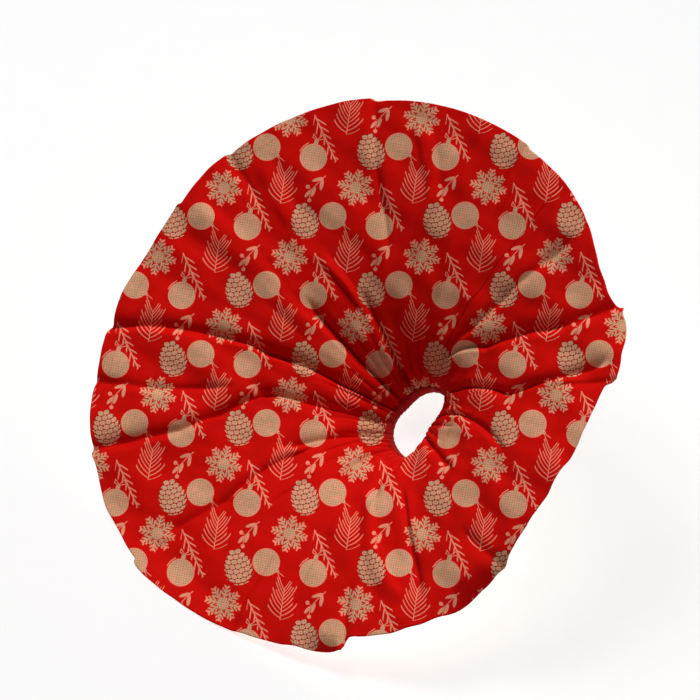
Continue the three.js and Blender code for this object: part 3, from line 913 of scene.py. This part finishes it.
def plain_cloth_material(name, colour, spacing, depth, turn=0.0, sheen=0.02, roughness=0.85):
    """A plain dyed weave: slightly uneven dye, and painted shade that makes the tops of its threads lighter
    and the gaps between them darker. Its threads are drawn about twice as coarse as real ones, so that they
    show."""
    material, tree = new_material(name)
    flat = cloth_mm(tree)
    threads = weave_height(tree, flat, spacing, turn)
    uneven = add(tree, "TexNoise", {"Vector": flat, "Scale": 0.12, "Detail": 3.0})
    # Painted shade of the weave: darker between the threads and lighter on their tops, added to the uneven
    # dye.
    shade = add(tree, MATH, (threads, 0.25, uneven), "MULTIPLY_ADD")
    value = add(tree, "MapRange", (shade, 0.4, 0.85, 0.84, 1.1))
    toned = add(tree, "HueSaturation", {"Color": tuple(colour), "Value": value})
    finish_material(tree, toned, threads, depth, roughness, specular=0.1, sheen=sheen)
    return material


def placket_material():
    """Plain-weave cotton dyed to the print's ground: matt, with threads that show on its folded edges."""
    name = "plain_weave_cotton"
    made = bpy.data.materials.get(name)
    return made or plain_cloth_material(name, bpy.context.scene.skirt_colours.placket, 0.9, 0.12 * MM)


def felt_material():
    """Needle-punched polyester felt: no weave, only tangled fibres, very matt and soft at its edges. The
    fibres are drawn as coarse as they need to be to show."""
    material, tree = new_material("needle_punched_felt")
    flat = cloth_mm(tree)
    fibres = add(tree, "TexNoise", {"Vector": flat, "Scale": 0.9, "Detail": 6.0, "Distortion": 1.4})
    clouds = add(tree, "TexNoise", {"Vector": flat, "Scale": 0.05, "Detail": 2.0})
    shade = add(tree, MATH, (fibres, clouds), "ADD")
    value = add(tree, "MapRange", (shade, 0.7, 1.3, 0.86, 1.06))
    lining = tuple(bpy.context.scene.skirt_colours.lining)
    toned = add(tree, "HueSaturation", {"Color": lining, "Value": value})
    finish_material(tree, toned, fibres, 0.5 * MM, 0.95, specular=0.2, sheen=0.25)
    return material


def satin_material():
    """Woven satin label: smooth long floats, so it has a soft shine along its threads."""
    return plain_cloth_material(
        "woven_satin", bpy.context.scene.skirt_colours.label, 0.5, 0.03 * MM, sheen=0.3, roughness=0.38
    )


def thread_material():
    """Spun polyester thread: two plies twisted together, with a faint shine."""
    name = "spun_polyester_thread"
    if name in bpy.data.materials:
        return bpy.data.materials[name]
    material, tree = new_material(name)
    flat = cloth_mm(tree)
    twist = add(tree, "TexWave", {"Vector": flat, "Scale": 0.9, "Distortion": 0.4})
    # Painted shade of the twist: lighter on the plies, darker in the grooves between them.
    value = add(tree, "MapRange", (twist, 0.0, 1.0, 0.8, 1.12))
    dyed = tuple(bpy.context.scene.skirt_colours.thread)
    toned = add(tree, "HueSaturation", {"Color": dyed, "Value": value})
    finish_material(tree, toned, twist, 0.08 * MM, 0.6, specular=0.4)
    return material


# ---------------------------------------------------------------- cloth sheets
EDGE_TURN = 0.9 * MM  # radius of the turned edges of the slit
EDGE_RETURN = 6 * MM  # cloth turned back behind them
EDGE_STEPS, HEM_STEPS = 5, 6  # mesh columns round a turned edge, and rows round the hem's turn and behind it
ROW_PULL = 0.06  # how much the mesh's rows crowd to the hole and the rim
LINING_LOFT = 0.7 * MM  # the felt's own thickness keeps its middle this much further back
LINING_START, LINING_SHORT = 1 * MM, 5 * MM  # and its edges stay inside the face's
FLAP_CUT_SHARE = 0.62  # the flap's cut, as a share of the rectangle round it
PRINT_RIM_ROWS = 12  # rows at the rim that say which way the print runs inwards
RIM_TURN = HEM_BEHIND / 2
SLIT_CLEAR = 0.5 * MM  # soft edges almost touch


def front_rows():
    """Distances along the cloth of the mesh's rows: closer together in the neck and at the rim."""
    share = np.linspace(0, 1, bpy.context.scene.skirt_sizes.rows)
    return CLOTH_LENGTH * (share - ROW_PULL * np.sin(2 * math.pi * share) / (2 * math.pi))


def cloth_grid(rows, behind, edge, columns):
    """Angles of a grid that runs right round from one side of the slit to the other.
    rows and behind are the path from the hole to the rim, edge the gap left on each side of the slit."""
    share = np.linspace(0, 1, columns)
    margin = np.degrees(edge / radius_at(np.minimum(rows, CLOTH_LENGTH)))[:, None]
    angle = SLIT_ANGLE + margin + share * (360 - 2 * margin)
    return np.broadcast_to(rows[:, None], angle.shape), angle, np.broadcast_to(behind[:, None], angle.shape)


def print_uv(points, rows):
    """The print's coordinates on a grid of face points: as it looks laid flat over the draped cloth, but
    never squeezed to less than a share of its true length."""
    flat = np.stack([points @ PRINT_ACROSS, points @ PRINT_UP], -1) - PRINT_ORIGIN
    steps = flat[:-1] - flat[1:]
    inwards = steps[-PRINT_RIM_ROWS:].mean(0)
    inwards /= np.linalg.norm(inwards, axis=-1, keepdims=True)
    lengths = PRINT_LEAST * np.diff(rows)[:, None]
    short = np.clip(lengths - (steps * inwards).sum(-1), 0, None)
    steps = steps + short[..., None] * inwards
    from_rim = np.cumsum(steps[::-1], axis=0)[::-1]
    return np.concatenate([flat[-1:] + from_rim, flat[-1:]]), -inwards


def split_sheet(grid, faces, points):
    """The faces of a sheet that stay with the skirt, and those that bend with the flap."""
    along, angle, _ = grid
    lifted = on_flap(points, angle, along).ravel()
    moves = lifted[faces].any(axis=1)
    return faces[~moves], faces[moves]


def grid_normals(points):
    """Normals of a grid of points from its own rows and columns, so that split sheets shade as one."""
    normal = np.cross(np.gradient(points, axis=0), np.gradient(points, axis=1))
    return normal / np.clip(np.linalg.norm(normal, axis=-1, keepdims=True), 1e-12, None)


def flap_cut(extra):
    """Width, length and area of the flat cut that bends with the flap: a sector beside the slit."""
    inner, outer = HOLE_RADIUS + FOLD_INNER / 2, HOLE_RADIUS + CLOTH_LENGTH + extra
    length, width = outer - inner, outer * math.radians(FOLD_ANGLE - SLIT_ANGLE)
    return width, length, FLAP_CUT_SHARE * width * length


def lay_sheets(halves, grid, points, uv, material, extra, side):
    """Makes the half of a sheet that stays on the skirt and the half that lies on the flap. extra is cloth
    turned back past the rim, and side is -1 for a sheet that faces back."""
    faces = quads(*points.shape[:2])[:, ::side]
    normals = side * grid_normals(points)
    outer = HOLE_RADIUS + CLOTH_LENGTH + extra
    cut = flap_cut(extra)
    flats = ((2 * outer, 2 * outer, math.pi * (outer**2 - HOLE_RADIUS**2) - cut[2]), cut)
    parts = split_sheet(grid, faces, points)
    for (name, body, nodes, below), part, (width, length, area) in zip(halves, parts, flats):
        piece = make_piece(name, points, part, material, uv, normals)
        settle(piece, body, nodes)


class SKIRT_OT_printed_cloth(bpy.types.Operator):
    """Drape the printed cloth, its edges turned at the slit and its hem turned to the back of the rim"""

    bl_idname = "skirt.printed_cloth"
    bl_label = "Printed cloth"

    def execute(self, context):
        front = front_rows()
        turn = np.linspace(0, math.pi, HEM_STEPS + 1)[1:]
        back = CLOTH_LENGTH - np.linspace(0, 1, HEM_STEPS + 1)[1:] * HEM_WIDTH
        rows = np.concatenate([front, CLOTH_LENGTH + RIM_TURN * np.sin(turn), back])
        behind = np.concatenate([0 * front, RIM_TURN * (1 - np.cos(turn)), 0 * back + HEM_BEHIND])
        path = np.concatenate([[0], np.cumsum(np.hypot(np.diff(rows), np.diff(behind)))])
        grid = cloth_grid(rows, behind, SLIT_CLEAR / 2 + EDGE_TURN, context.scene.skirt_sizes.columns)
        along, angle, behind = grid
        points = lie(along, angle, behind)
        uv, outwards = print_uv(points[: len(front)], front)
        past_rim = (path - path[len(front) - 1])[len(front) :, None, None]
        uv = np.concatenate([uv, uv[-1:] + past_rim * outwards])

        # The turned edges of the slit: round to the back, then a narrow return.
        bend = np.linspace(0, math.pi, EDGE_STEPS + 1)[1:]
        towards = np.concatenate([EDGE_TURN * np.sin(bend), [-EDGE_RETURN]])
        depth = np.concatenate([EDGE_TURN * (1 - np.cos(bend)), [2 * EDGE_TURN]])
        radius = np.clip(radius_at(along), HOLE_RADIUS, None)
        edges = [[], []]
        for side, sign in ((0, -1), (-1, 1)):
            for toward, deep in zip(towards, depth):
                turned = angle[:, side] + sign * np.degrees(toward / radius[:, side])
                share = 1 - behind[:, side] / HEM_BEHIND
                edges[side].append(lie(along[:, side], turned, behind[:, side] + deep * share))
        points = np.stack([*edges[0][::-1], *points.transpose(1, 0, 2), *edges[1]], 1)
        spare = ((0, 0), (len(towards), len(towards)))
        uv = np.pad(uv, (*spare, (0, 0)), mode="edge")
        grid = [np.pad(values, spare, mode="edge") for values in grid]
        halves = (
            ("printed_cloth", "skirt", ("face_cloth", "rim_hem"), "lining_felt"),
            ("printed_flap", "flap_bend", ("flap_face_cloth", "flap_hem"), "lining_felt_flap"),
        )
        lay_sheets(halves, grid, points, uv, printed_cloth_material(), HEM_WIDTH, 1)
        return {"FINISHED"}


class SKIRT_OT_lining(bpy.types.Operator):
    """Lay the felt lining behind the printed cloth, tucked under the hem"""

    bl_idname = "skirt.lining"
    bl_label = "Lining"

    def execute(self, context):
        rows = front_rows() * (CLOTH_LENGTH - LINING_SHORT) / CLOTH_LENGTH + LINING_START
        behind = np.full(len(rows), LINING_BEHIND + LINING_LOFT)
        grid = cloth_grid(rows, behind, SLIT_GAP / 2 + 2 * EDGE_TURN, context.scene.skirt_sizes.columns)
        along, angle, _ = grid
        uv = np.stack([(HOLE_RADIUS + along) * trig(np.radians(angle)) for trig in (np.cos, np.sin)], -1)
        halves = (
            ("lining_felt", "skirt", ("lining_cloth",), "neck_tape"),
            ("lining_felt_flap", "flap_bend", ("flap_lining_cloth",), "slit_placket"),
        )
        lay_sheets(halves, grid, lie(*grid), uv, felt_material(), 0, -1)
        return {"FINISHED"}


# ---------------------------------------------------------------- bands, tapes and stitches
def band(name, alongs, outline, material, angle_of=across_slit):
    """A closed band: an outline of (width, behind) corners carried along the cloth, with flat ends."""
    width, behind = np.array(outline, float).T
    along = np.repeat(np.asarray(alongs, float)[:, None], len(outline), 1)
    width, behind = np.broadcast_to(width, along.shape), np.broadcast_to(behind, along.shape)
    points = lie(along, angle_of(along, width), behind)
    rows, count = along.shape
    faces = [list(face) for face in quads(rows, count, closed=True)]
    faces += [list(range(count)), list(range((rows - 1) * count, rows * count))[::-1]]
    uv = np.stack([width + behind, along], -1)
    return make_piece(name, points, faces, material, uv)


SLAB_CORNER = 0.35  # share of a band's thickness that its edges are rounded by


def slab(widths, layer, count=8):
    """The outline of a flat band with rounded edges."""
    (low, high), (front, back) = widths, layer
    round_off = SLAB_CORNER * (back - front)
    middle, half = 0.5 * (front + back), 0.5 * (back - front)
    inner = np.linspace(low + round_off, high - round_off, count)
    turns = np.linspace(-math.pi / 2, math.pi / 2, 4)[1:-1]
    outline = [(width, front) for width in inner]
    for edge, sign in ((high, 1), (low, -1)):
        curve = [(round_off * (1 - math.cos(turn)), half * math.sin(turn)) for turn in turns]
        outline += [(edge - sign * inset, middle + sign * rise) for inset, rise in curve]
        if sign == 1:
            outline += [(width, back) for width in inner[::-1]]
    return outline


def between(first, last, spacing=6 * MM):
    return np.linspace(first, last, max(3, int(abs(last - first) / spacing) + 1))


def along_at_radius(radius):
    table, point, _ = MERIDIAN
    return np.interp(radius, point[:, 0], table)


# A stitch is a short thread of STITCH_SIDES sides that dips into the cloth at both ends. Its profile is a
# share of its length, and its width and height there in thicknesses of the thread.
STITCH_SIDES = 6
STITCH_PROFILE = ((0.0, 0.3, -0.3), (0.18, 0.9, 0.15), (0.5, 1.0, 0.35), (0.82, 0.9, 0.15), (1.0, 0.3, -0.3))
STITCH_GAP = 0.25  # share of a stitch between two of them


def tubes(blocks, count, sides, caps):
    """Faces of many like tubes of count points each, in rings of that many sides, with these end caps."""
    one = [list(face) for face in quads(count // sides, sides, closed=True)] + caps
    return [[number * count + corner for corner in face] for number in range(blocks) for face in one]


def stitches(name, paths, keep=None):
    """Machine stitches laid end to end along paths of (along, angle, behind) arrays and a side."""
    sizes = bpy.context.scene.skirt_sizes
    gap = STITCH_GAP * sizes.stitch
    around = np.linspace(0, 2 * math.pi, STITCH_SIDES, endpoint=False)[:, None]
    blocks = []
    for along, angle, behind, back in paths:
        line = lie(along, angle, behind)
        outward = facing(along, angle) * (-1 if back else 1)
        distance = np.concatenate([[0], np.cumsum(np.linalg.norm(np.diff(line, axis=0), axis=1))])
        starts = np.arange(gap, distance[-1] - sizes.stitch, sizes.stitch + gap)
        start, end, normal = (
            np.stack([np.interp(starts + further, distance, part) for part in values.T], -1)
            for values, further in ((line, 0), (line, sizes.stitch), (outward, sizes.stitch / 2))
        )
        if keep is not None:
            wanted = keep(start, np.interp(starts, distance, angle), np.interp(starts, distance, along))
            start, end, normal = start[wanted], end[wanted], normal[wanted]
        if not len(start):
            continue
        course = end - start
        side = np.cross(course, normal)
        side /= np.linalg.norm(side, axis=1, keepdims=True)
        normal = np.cross(side, course / np.linalg.norm(course, axis=1, keepdims=True))
        rings = []
        for share, thick, height in STITCH_PROFILE:
            middle = start + share * course + height * sizes.thread * normal
            reach = np.cos(around) * side[:, None] + np.sin(around) * normal[:, None]
            rings.append(middle[:, None] + 0.5 * sizes.thread * thick * reach)
        blocks.append(np.stack(rings, 1))
    count = len(STITCH_PROFILE) * STITCH_SIDES
    caps = [list(range(STITCH_SIDES))[::-1], list(range(count - STITCH_SIDES, count))]
    points = np.concatenate(blocks).reshape(-1, 3)
    uv = np.stack([points @ PRINT_ACROSS, points @ PRINT_UP], -1)
    faces = tubes(len(points) // count, count, STITCH_SIDES, caps)
    return make_piece(name, points, faces, thread_material(), uv)


def across_path(alongs, width, behind, back=True, angle_of=across_slit):
    """A stitching path along the cloth, a fixed width beside the slit."""
    along = between(*alongs, 3 * MM)
    return along, angle_of(along, np.full(len(along), width)), np.full(len(along), behind), back


def round_path(along, behind, back, first=SLIT_ANGLE + 0.6, last=SLIT_ANGLE + 359.4):
    """A stitching path round the cloth at one distance along it."""
    angle = np.linspace(first, last, 1400)
    return np.full(len(angle), along), angle, np.full(len(angle), behind), back


def box_paths(alongs, widths, behind, inset=1.6 * MM, back=True, angle_of=across_slit):
    """Four stitching paths just inside the edges of a rectangle of cloth."""
    (low, high), (left, right) = alongs, widths
    low, high, left, right = low + inset, high - inset, left + inset, right - inset
    paths = [across_path((low, high), width, behind, back, angle_of) for width in (left, right)]
    for along in (low, high):
        width = between(left, right, 2 * MM)
        there = np.full(len(width), along)
        paths.append((there, angle_of(there, width), np.full(len(width), behind), back))
    return paths


class SKIRT_OT_neck_binding(bpy.types.Operator):
    """Bind the edge of the centre hole with a folded tape, rolled past the cloth"""

    bl_idname = "skirt.neck_binding"
    bl_label = "Neck binding"

    def execute(self, context):
        thick, back, count = BINDING_THICK, BINDING_BACK, BINDING_STEPS
        profile = (  # (along, behind), round the outside of the fold and back along its inside
            (BINDING_WIDTH, -0.2 * MM),
            (BINDING_WIDTH - 1 * MM, -thick),
            (0.5 * BINDING_WIDTH, -1.25 * thick),
            (0, -1.2 * thick),
            (-0.7 * BINDING_ROLL, -0.7 * thick),
            (-BINDING_ROLL, 0.35 * back),
            (-0.9 * BINDING_ROLL, 0.75 * back),
            (-0.5 * BINDING_ROLL, back),
            (0, 1.1 * back),
            (0.5 * BINDING_WIDTH, 1.1 * back),
            (BINDING_WIDTH - 1 * MM, back),
            (BINDING_WIDTH, 0.8 * back),
            (0.1 * BINDING_WIDTH, 0.78 * back),
            (-1 * MM, 0.6 * back),
            (-1 * MM, 0.2 * back),
            (0.1 * BINDING_WIDTH, -0.1 * MM),
        )
        along, behind = np.array(profile).T
        margin = math.degrees(SLIT_GAP / 2 / HOLE_RADIUS)
        angle = np.linspace(SLIT_ANGLE + margin, SLIT_ANGLE + 360 - margin, count)
        grids = np.broadcast_arrays(along, angle[:, None], behind)
        points = lie(*grids)
        corners = len(profile)
        faces = [list(face)[::-1] for face in quads(count, corners, closed=True)]
        faces += [list(range(corners))[::-1], list(range((count - 1) * corners, count * corners))]
        uv = np.stack([grids[0] + grids[2], np.radians(grids[1]) * HOLE_RADIUS], -1)
        colour, twill = context.scene.skirt_colours.binding, math.radians(45)
        tape = plain_cloth_material("woven_twill_tape", colour, 1.1, 0.12 * MM, twill)
        piece = make_piece("neck_tape", points, faces, tape, uv)
        settle(piece, "skirt", ("neck_binding",))
        sewn, ends = BINDING_WIDTH - BINDING_SEWN, (SLIT_ANGLE + 2, SLIT_ANGLE + 358)
        paths = [round_path(sewn, -1.25 * thick, False, *ends), round_path(sewn, 1.1 * back, True, *ends)]
        line = stitches("neck_tape_stitches", paths)
        settle(line, "skirt")
        return {"FINISHED"}


class SKIRT_OT_hem_stitches(bpy.types.Operator):
    """Sew the turned hem down, all round the rim"""

    bl_idname = "skirt.hem_stitches"
    bl_label = "Hem stitches"

    def execute(self, context):
        along = CLOTH_LENGTH - HEM_WIDTH + 3 * MM
        paths = [round_path(along, 0.0, False), round_path(along, HEM_BEHIND, True)]
        for name, body, keep in (
            ("hem_stitches", "skirt", lambda *place: ~on_flap(*place)),
            ("flap_hem_stitches", "flap_bend", on_flap),
        ):
            settle(stitches(name, paths, keep), body)
        return {"FINISHED"}


class SKIRT_OT_placket(bpy.types.Operator):
    """Sew the placket, and the folded seams on both sides of the slit"""

    bl_idname = "skirt.placket"
    bl_label = "Placket and slit seams"

    def execute(self, context):
        cloth = placket_material()
        hem_start = CLOTH_LENGTH - HEM_WIDTH
        seam_rows = between(FOLD_INNER, hem_start - 0.5 * MM)
        placket_rows = between(TAB_ALONG[1] + 3 * MM, CLOTH_LENGTH - 1 * MM)
        for name, rows, outline, body, node in (
            ("slit_placket", placket_rows, slab(PLACKET_WIDTH, PLACKET, count=12), "skirt", "placket"),
            ("slit_placket_seam", seam_rows, slab(PLACKET_SEAM, SEAM), "skirt", "placket_seam"),
            ("flap_folded_seam", seam_rows, slab(FLAP_SEAM, SEAM), "flap_bend", "flap_slit_seam"),
        ):
            settle(band(name, rows, outline, cloth), body, (node,))
        reach = (FOLD_INNER, hem_start - 2 * MM)
        whole = (TAB_ALONG[1] + 5 * MM, CLOTH_LENGTH - 3 * MM)
        sewn = [across_path(whole, PLACKET_WIDTH[1] - 2 * MM, PLACKET[side], side == 1) for side in (0, 1)]
        sewn += [across_path(whole, width, PLACKET[1]) for width in (PLACKET_SEAM[0], -2.5 * MM)]
        settle(stitches("placket_stitches", sewn), "skirt")
        inner = (FLAP_SEAM[0] + 1.5 * MM, FLAP_SEAM[1] - 1.5 * MM)
        folded = [across_path(reach, width, SEAM[1]) for width in inner]
        settle(stitches("flap_seam_stitches", folded), "flap_bend")
        return {"FINISHED"}


# Hooks and loops are three-sided bent spikes, drawn coarser than real ones so that they show. Their profile
# is a share of the height, a thickness, and a share of the lean, the last two in spacings.
BRISTLE_PROFILE = ((-0.1, 0.26, 0.0), (0.55, 0.2, 0.25), (1.0, 0.22, 1.0))
BRISTLE_EDGE = 2 * MM  # bare edge of a tape round them
BRISTLE_WAVER = (0.25, 2.1)  # share of a spacing that their rows waver by, and how fast
Bristle = namedtuple("Bristle", "slot ending height spacing lean")
HOOKS = Bristle("hook_tape", "_hooks", 0.9 * MM, 2.0 * MM, 0.35)
LOOPS = Bristle("loop_tape", "_pile", 0.8 * MM, 1.6 * MM, -0.5)
TAB_HOOKS = HOOKS._replace(height=0.8 * MM, lean=0.3)
TAB_LOOPS = LOOPS._replace(lean=0.3)
Tape = namedtuple("Tape", "name node kind stuff body layer")


def bristle(name, kind, alongs, widths, surface, material, back):
    """Rows of small hooks or loops standing on a tape."""
    spacing = kind.spacing
    rows, columns = (np.arange(first + spacing, last, spacing) for first, last in (alongs, widths))
    along, width = (grid.ravel() for grid in np.meshgrid(rows, columns))
    share, pace = BRISTLE_WAVER
    width = width + share * spacing * np.sin(along / spacing * pace)
    sign = 1 if back else -1
    rings = []
    for share, thick, lean in BRISTLE_PROFILE:
        behind = np.full(len(along), surface + sign * kind.height * share)
        ring = []
        for turn in (0, 2 * math.pi / 3, 4 * math.pi / 3):
            there = along + spacing * (thick * math.cos(turn) + lean * kind.lean)
            ring.append(lie(there, across_slit(there, width + spacing * thick * math.sin(turn)), behind))
        rings.append(np.stack(ring, 1))
    points = np.stack(rings, 1).reshape(-1, 3)
    faces = tubes(len(along), 9, 3, [[0, 2, 1], [6, 7, 8]])
    return make_piece(name, points, faces, material, points[:, :2])


def sew_pair(ends, widths, spacing, tapes):
    """A hook tape and its loop tape, each with its hooks or loops on the side where it meets the other, and
    stitched down all round."""
    alongs, across = ((low + BRISTLE_EDGE, high - BRISTLE_EDGE) for low, high in (ends, widths))
    rows = between(*ends, spacing)
    strips = [band(tape.name, rows, slab(widths, tape.layer), tape.stuff) for tape in tapes]
    for strip, tape in zip(strips, tapes):
        settle(strip, tape.body, (tape.node,))
    meets = [(tape.layer[1], True) if tape.layer == HOOK_TAPE else (tape.layer[0], False) for tape in tapes]
    sewn_on = [
        bristle(tape.name + tape.kind.ending, tape.kind, alongs, across, surface, tape.stuff, back)
        for tape, (surface, back) in zip(tapes, meets)
    ]
    sewn_on += [
        stitches(tape.name + "_stitches", box_paths(ends, widths, surface, back=back))
        for tape, (surface, back) in zip(tapes, meets)
    ]
    for piece, strip, tape in zip(sewn_on, 2 * strips, 2 * tapes):
        piece.parent = strip


class SKIRT_OT_tapes(bpy.types.Operator):
    """Sew on the three pairs of hook and loop tapes, and the pair under the neck tab"""

    bl_idname = "skirt.tapes"
    bl_label = "Hook and loop tapes"

    def execute(self, context):
        colours = context.scene.skirt_colours
        hooks = plain_cloth_material("woven_nylon_hook_tape", colours.hooks, 0.7, 0.1 * MM, roughness=0.55)
        loops = plain_cloth_material(
            "brushed_nylon_loop_tape", colours.loops, 0.9, 0.3 * MM, sheen=0.4, roughness=0.95
        )
        for i, radius in enumerate(TAPE_RADII, 1):
            ends = [along_at_radius(radius + side * TAPE_LENGTH / 2) for side in (-1, 1)]
            hook = Tape(f"hook_strip_{i}", f"hook_tape_{i}", HOOKS, hooks, "flap", HOOK_TAPE)
            loop = Tape(f"loop_strip_{i}", f"loop_tape_{i}", LOOPS, loops, "skirt", LOOP_TAPE)
            sew_pair(ends, TAPE_WIDTH, 4 * MM, (hook, loop))
        hook = Tape("tab_hook_strip", "neck_tab_hooks", TAB_HOOKS, hooks, "tab", LOOP_TAPE)
        loop = Tape("tab_loop_strip", "neck_loop_patch", TAB_LOOPS, loops, "skirt", HOOK_TAPE)
        sew_pair(TAB_ALONG, TAB_PATCH, 6 * MM, (hook, loop))
        return {"FINISHED"}


class SKIRT_OT_neck_tab(bpy.types.Operator):
    """Sew the tab behind the neck to its anchor; its free end closes the slit"""

    bl_idname = "skirt.neck_tab"
    bl_label = "Neck tab"

    def execute(self, context):
        cloth = placket_material()
        rows = between(*TAB_ALONG, 4 * MM)
        anchor = band("tab_anchor_fold", rows, slab(ANCHOR_WIDTH, (SEAM[0], PLACKET[0] - 0.2 * MM)), cloth)
        settle(anchor, "skirt", ("neck_tab_anchor",))
        wide = (TAB_END, ANCHOR_WIDTH[1])
        tab = band("closing_tab", rows, slab(wide, PLACKET, count=22), cloth)
        settle(tab, "tab_bend", ("neck_tab",))
        paths = box_paths(TAB_ALONG, wide, PLACKET[1], inset=2.5 * MM)
        paths.append(across_path((TAB_ALONG[0] + 3 * MM, TAB_ALONG[1] - 3 * MM), 4 * MM, PLACKET[1]))
        settle(stitches("tab_stitches", paths), "tab_bend")
        return {"FINISHED"}


class SKIRT_OT_care_label(bpy.types.Operator):
    """Sew a blank care label on the lining"""

    bl_idname = "skirt.care_label"
    bl_label = "Care label"

    def execute(self, context):
        def beside(along, width):
            return LABEL_ANGLE + np.degrees(np.arcsin(width / radius_at(along)))

        ends = [along_at_radius(LABEL_RADIUS + side * LABEL_SIZE[0] / 2) for side in (-1, 1)]
        widths = (-LABEL_SIZE[1] / 2, LABEL_SIZE[1] / 2)
        outline = slab(widths, LABEL, count=14)
        label = band("satin_label", between(*ends, 3 * MM), outline, satin_material(), beside)
        settle(label, "skirt", ("care_label",))
        paths = box_paths(ends, widths, LABEL[1], angle_of=beside)
        settle(stitches("label_stitches", paths), "skirt")
        return {"FINISHED"}


# ---------------------------------------------------------------- stage
FLOOR_HALF = 12.0  # metres
WORLD_STRENGTH = 0.12
LIT_POINT = Vector((0, 0, 0.2))

# Softboxes as name, place, size and power in watts. The first lights the skirt and not the floor, the
# others only the floor: one evenly, without shadows, and one for the skirt's soft shadow.
OVERHEAD_LIGHT = ("overhead_softbox", (1.2, 2.7, 7.5), 2.8, 760.0)
FLOOR_LIGHT = ("floor_softbox", (0.0, 0.0, 14.0), 10.0, 1700.0)
SHADOW_LIGHT = ("floor_shadow_softbox", (-2.5, 2.5, 9.0), 4.0, 190.0)


class SKIRT_OT_stage(bpy.types.Operator):
    """Set the pale floor, the soft studio light and the camera"""

    bl_idname = "skirt.stage"
    bl_label = "Stage"

    def execute(self, context):
        scene = context.scene
        scene.view_settings.view_transform = "Standard"
        mesh = bpy.data.meshes.new("floor")
        corners = ((-1, -1), (1, -1), (1, 1), (-1, 1))
        mesh.from_pydata([(x * FLOOR_HALF, y * FLOOR_HALF, 0) for x, y in corners], [], [(0, 1, 2, 3)])
        material, tree = new_material("matt_white_paper_floor")
        grain = add(tree, "TexNoise", {"Scale": 400.0})
        shade = add(tree, "MapRange", {0: grain, 3: 0.985, 4: 1.0})
        white = add(tree, "HueSaturation", {"Color": linear("#F7F7F7"), "Value": shade})
        finish_material(tree, white, grain, 0.05 * MM, 0.9)
        mesh.materials.append(material)
        floor = bpy.data.objects.new("floor", mesh)
        scene.collection.objects.link(floor)

        world = bpy.data.worlds.new("soft_studio")
        world.use_nodes = True
        background = world.node_tree.nodes["Background"]
        background.inputs["Color"].default_value = linear("#FFFFFF")
        background.inputs["Strength"].default_value = WORLD_STRENGTH
        scene.world = world
        only_floor, not_floor = (bpy.data.collections.new(name) for name in ("lit_floor", "unlit_floor"))
        for group, state in ((only_floor, "INCLUDE"), (not_floor, "EXCLUDE")):
            group.objects.link(floor)
            group.collection_objects[0].light_linking.link_state = state
        for (name, place, size, watts), receivers, blockers in (
            (OVERHEAD_LIGHT, not_floor, None),
            (FLOOR_LIGHT, only_floor, only_floor),
            (SHADOW_LIGHT, only_floor, None),
        ):
            lamp = bpy.data.lights.new(name, "AREA")
            lamp.size = size
            lamp.energy = watts
            holder = bpy.data.objects.new(name, lamp)
            holder.location = place
            holder.rotation_euler = (LIT_POINT - Vector(place)).to_track_quat("-Z", "Y").to_euler()
            scene.collection.objects.link(holder)
            holder.light_linking.receiver_collection = receivers
            holder.light_linking.blocker_collection = blockers

        across, up = VIEW_CENTRE
        towards = Vector((0, -math.cos(VIEW_TILT), math.sin(VIEW_TILT)))
        target = across * Vector(PRINT_ACROSS) + up * Vector(PRINT_UP)
        lens = bpy.data.cameras.new("camera")
        lens.lens = LENS_MM
        lens.sensor_width = SENSOR_MM
        lens.clip_end = 100
        camera = bpy.data.objects.new("camera", lens)
        camera.location = target + towards * (VIEW_WIDTH * LENS_MM / SENSOR_MM)
        camera.rotation_euler = (-towards).to_track_quat("-Z", "Y").to_euler()
        scene.collection.objects.link(camera)
        scene.camera = camera
        return {"FINISHED"}


class SKIRT_PT_panel(bpy.types.Panel):
    """The skirt's pieces, sizes and colours in the sidebar"""

    bl_label = "Tree skirt"
    bl_idname = "SKIRT_PT_panel"
    bl_space_type = "VIEW_3D"
    bl_region_type = "UI"
    bl_category = "Tree Skirt"

    def draw(self, context):
        for operator in OPERATORS:
            self.layout.operator(operator.bl_idname)
        for group in (context.scene.skirt_sizes, context.scene.skirt_colours):
            column = self.layout.column()
            for name in group.__annotations__:
                column.prop(group, name)


OPERATORS = (
    SKIRT_OT_stage,
    SKIRT_OT_printed_cloth,
    SKIRT_OT_lining,
    SKIRT_OT_neck_binding,
    SKIRT_OT_hem_stitches,
    SKIRT_OT_placket,
    SKIRT_OT_tapes,
    SKIRT_OT_neck_tab,
    SKIRT_OT_care_label,
)
CLASSES = (SkirtSizes, SkirtColours, *OPERATORS, SKIRT_PT_panel)


def register():
    for each in CLASSES:
        bpy.utils.register_class(each)
    bpy.types.Scene.skirt_sizes = bpy.props.PointerProperty(type=SkirtSizes)
    bpy.types.Scene.skirt_colours = bpy.props.PointerProperty(type=SkirtColours)


def unregister():
    del bpy.types.Scene.skirt_sizes
    del bpy.types.Scene.skirt_colours
    for each in reversed(CLASSES):
        bpy.utils.unregister_class(each)


def main():
    register()
    bpy.ops.skirt.stage()
    bpy.ops.skirt.printed_cloth()
    bpy.ops.skirt.lining()
    bpy.ops.skirt.neck_binding()
    bpy.ops.skirt.hem_stitches()
    bpy.ops.skirt.placket()
    bpy.ops.skirt.tapes()
    bpy.ops.skirt.neck_tab()
    bpy.ops.skirt.care_label()


if __name__ == "__main__":
    main()
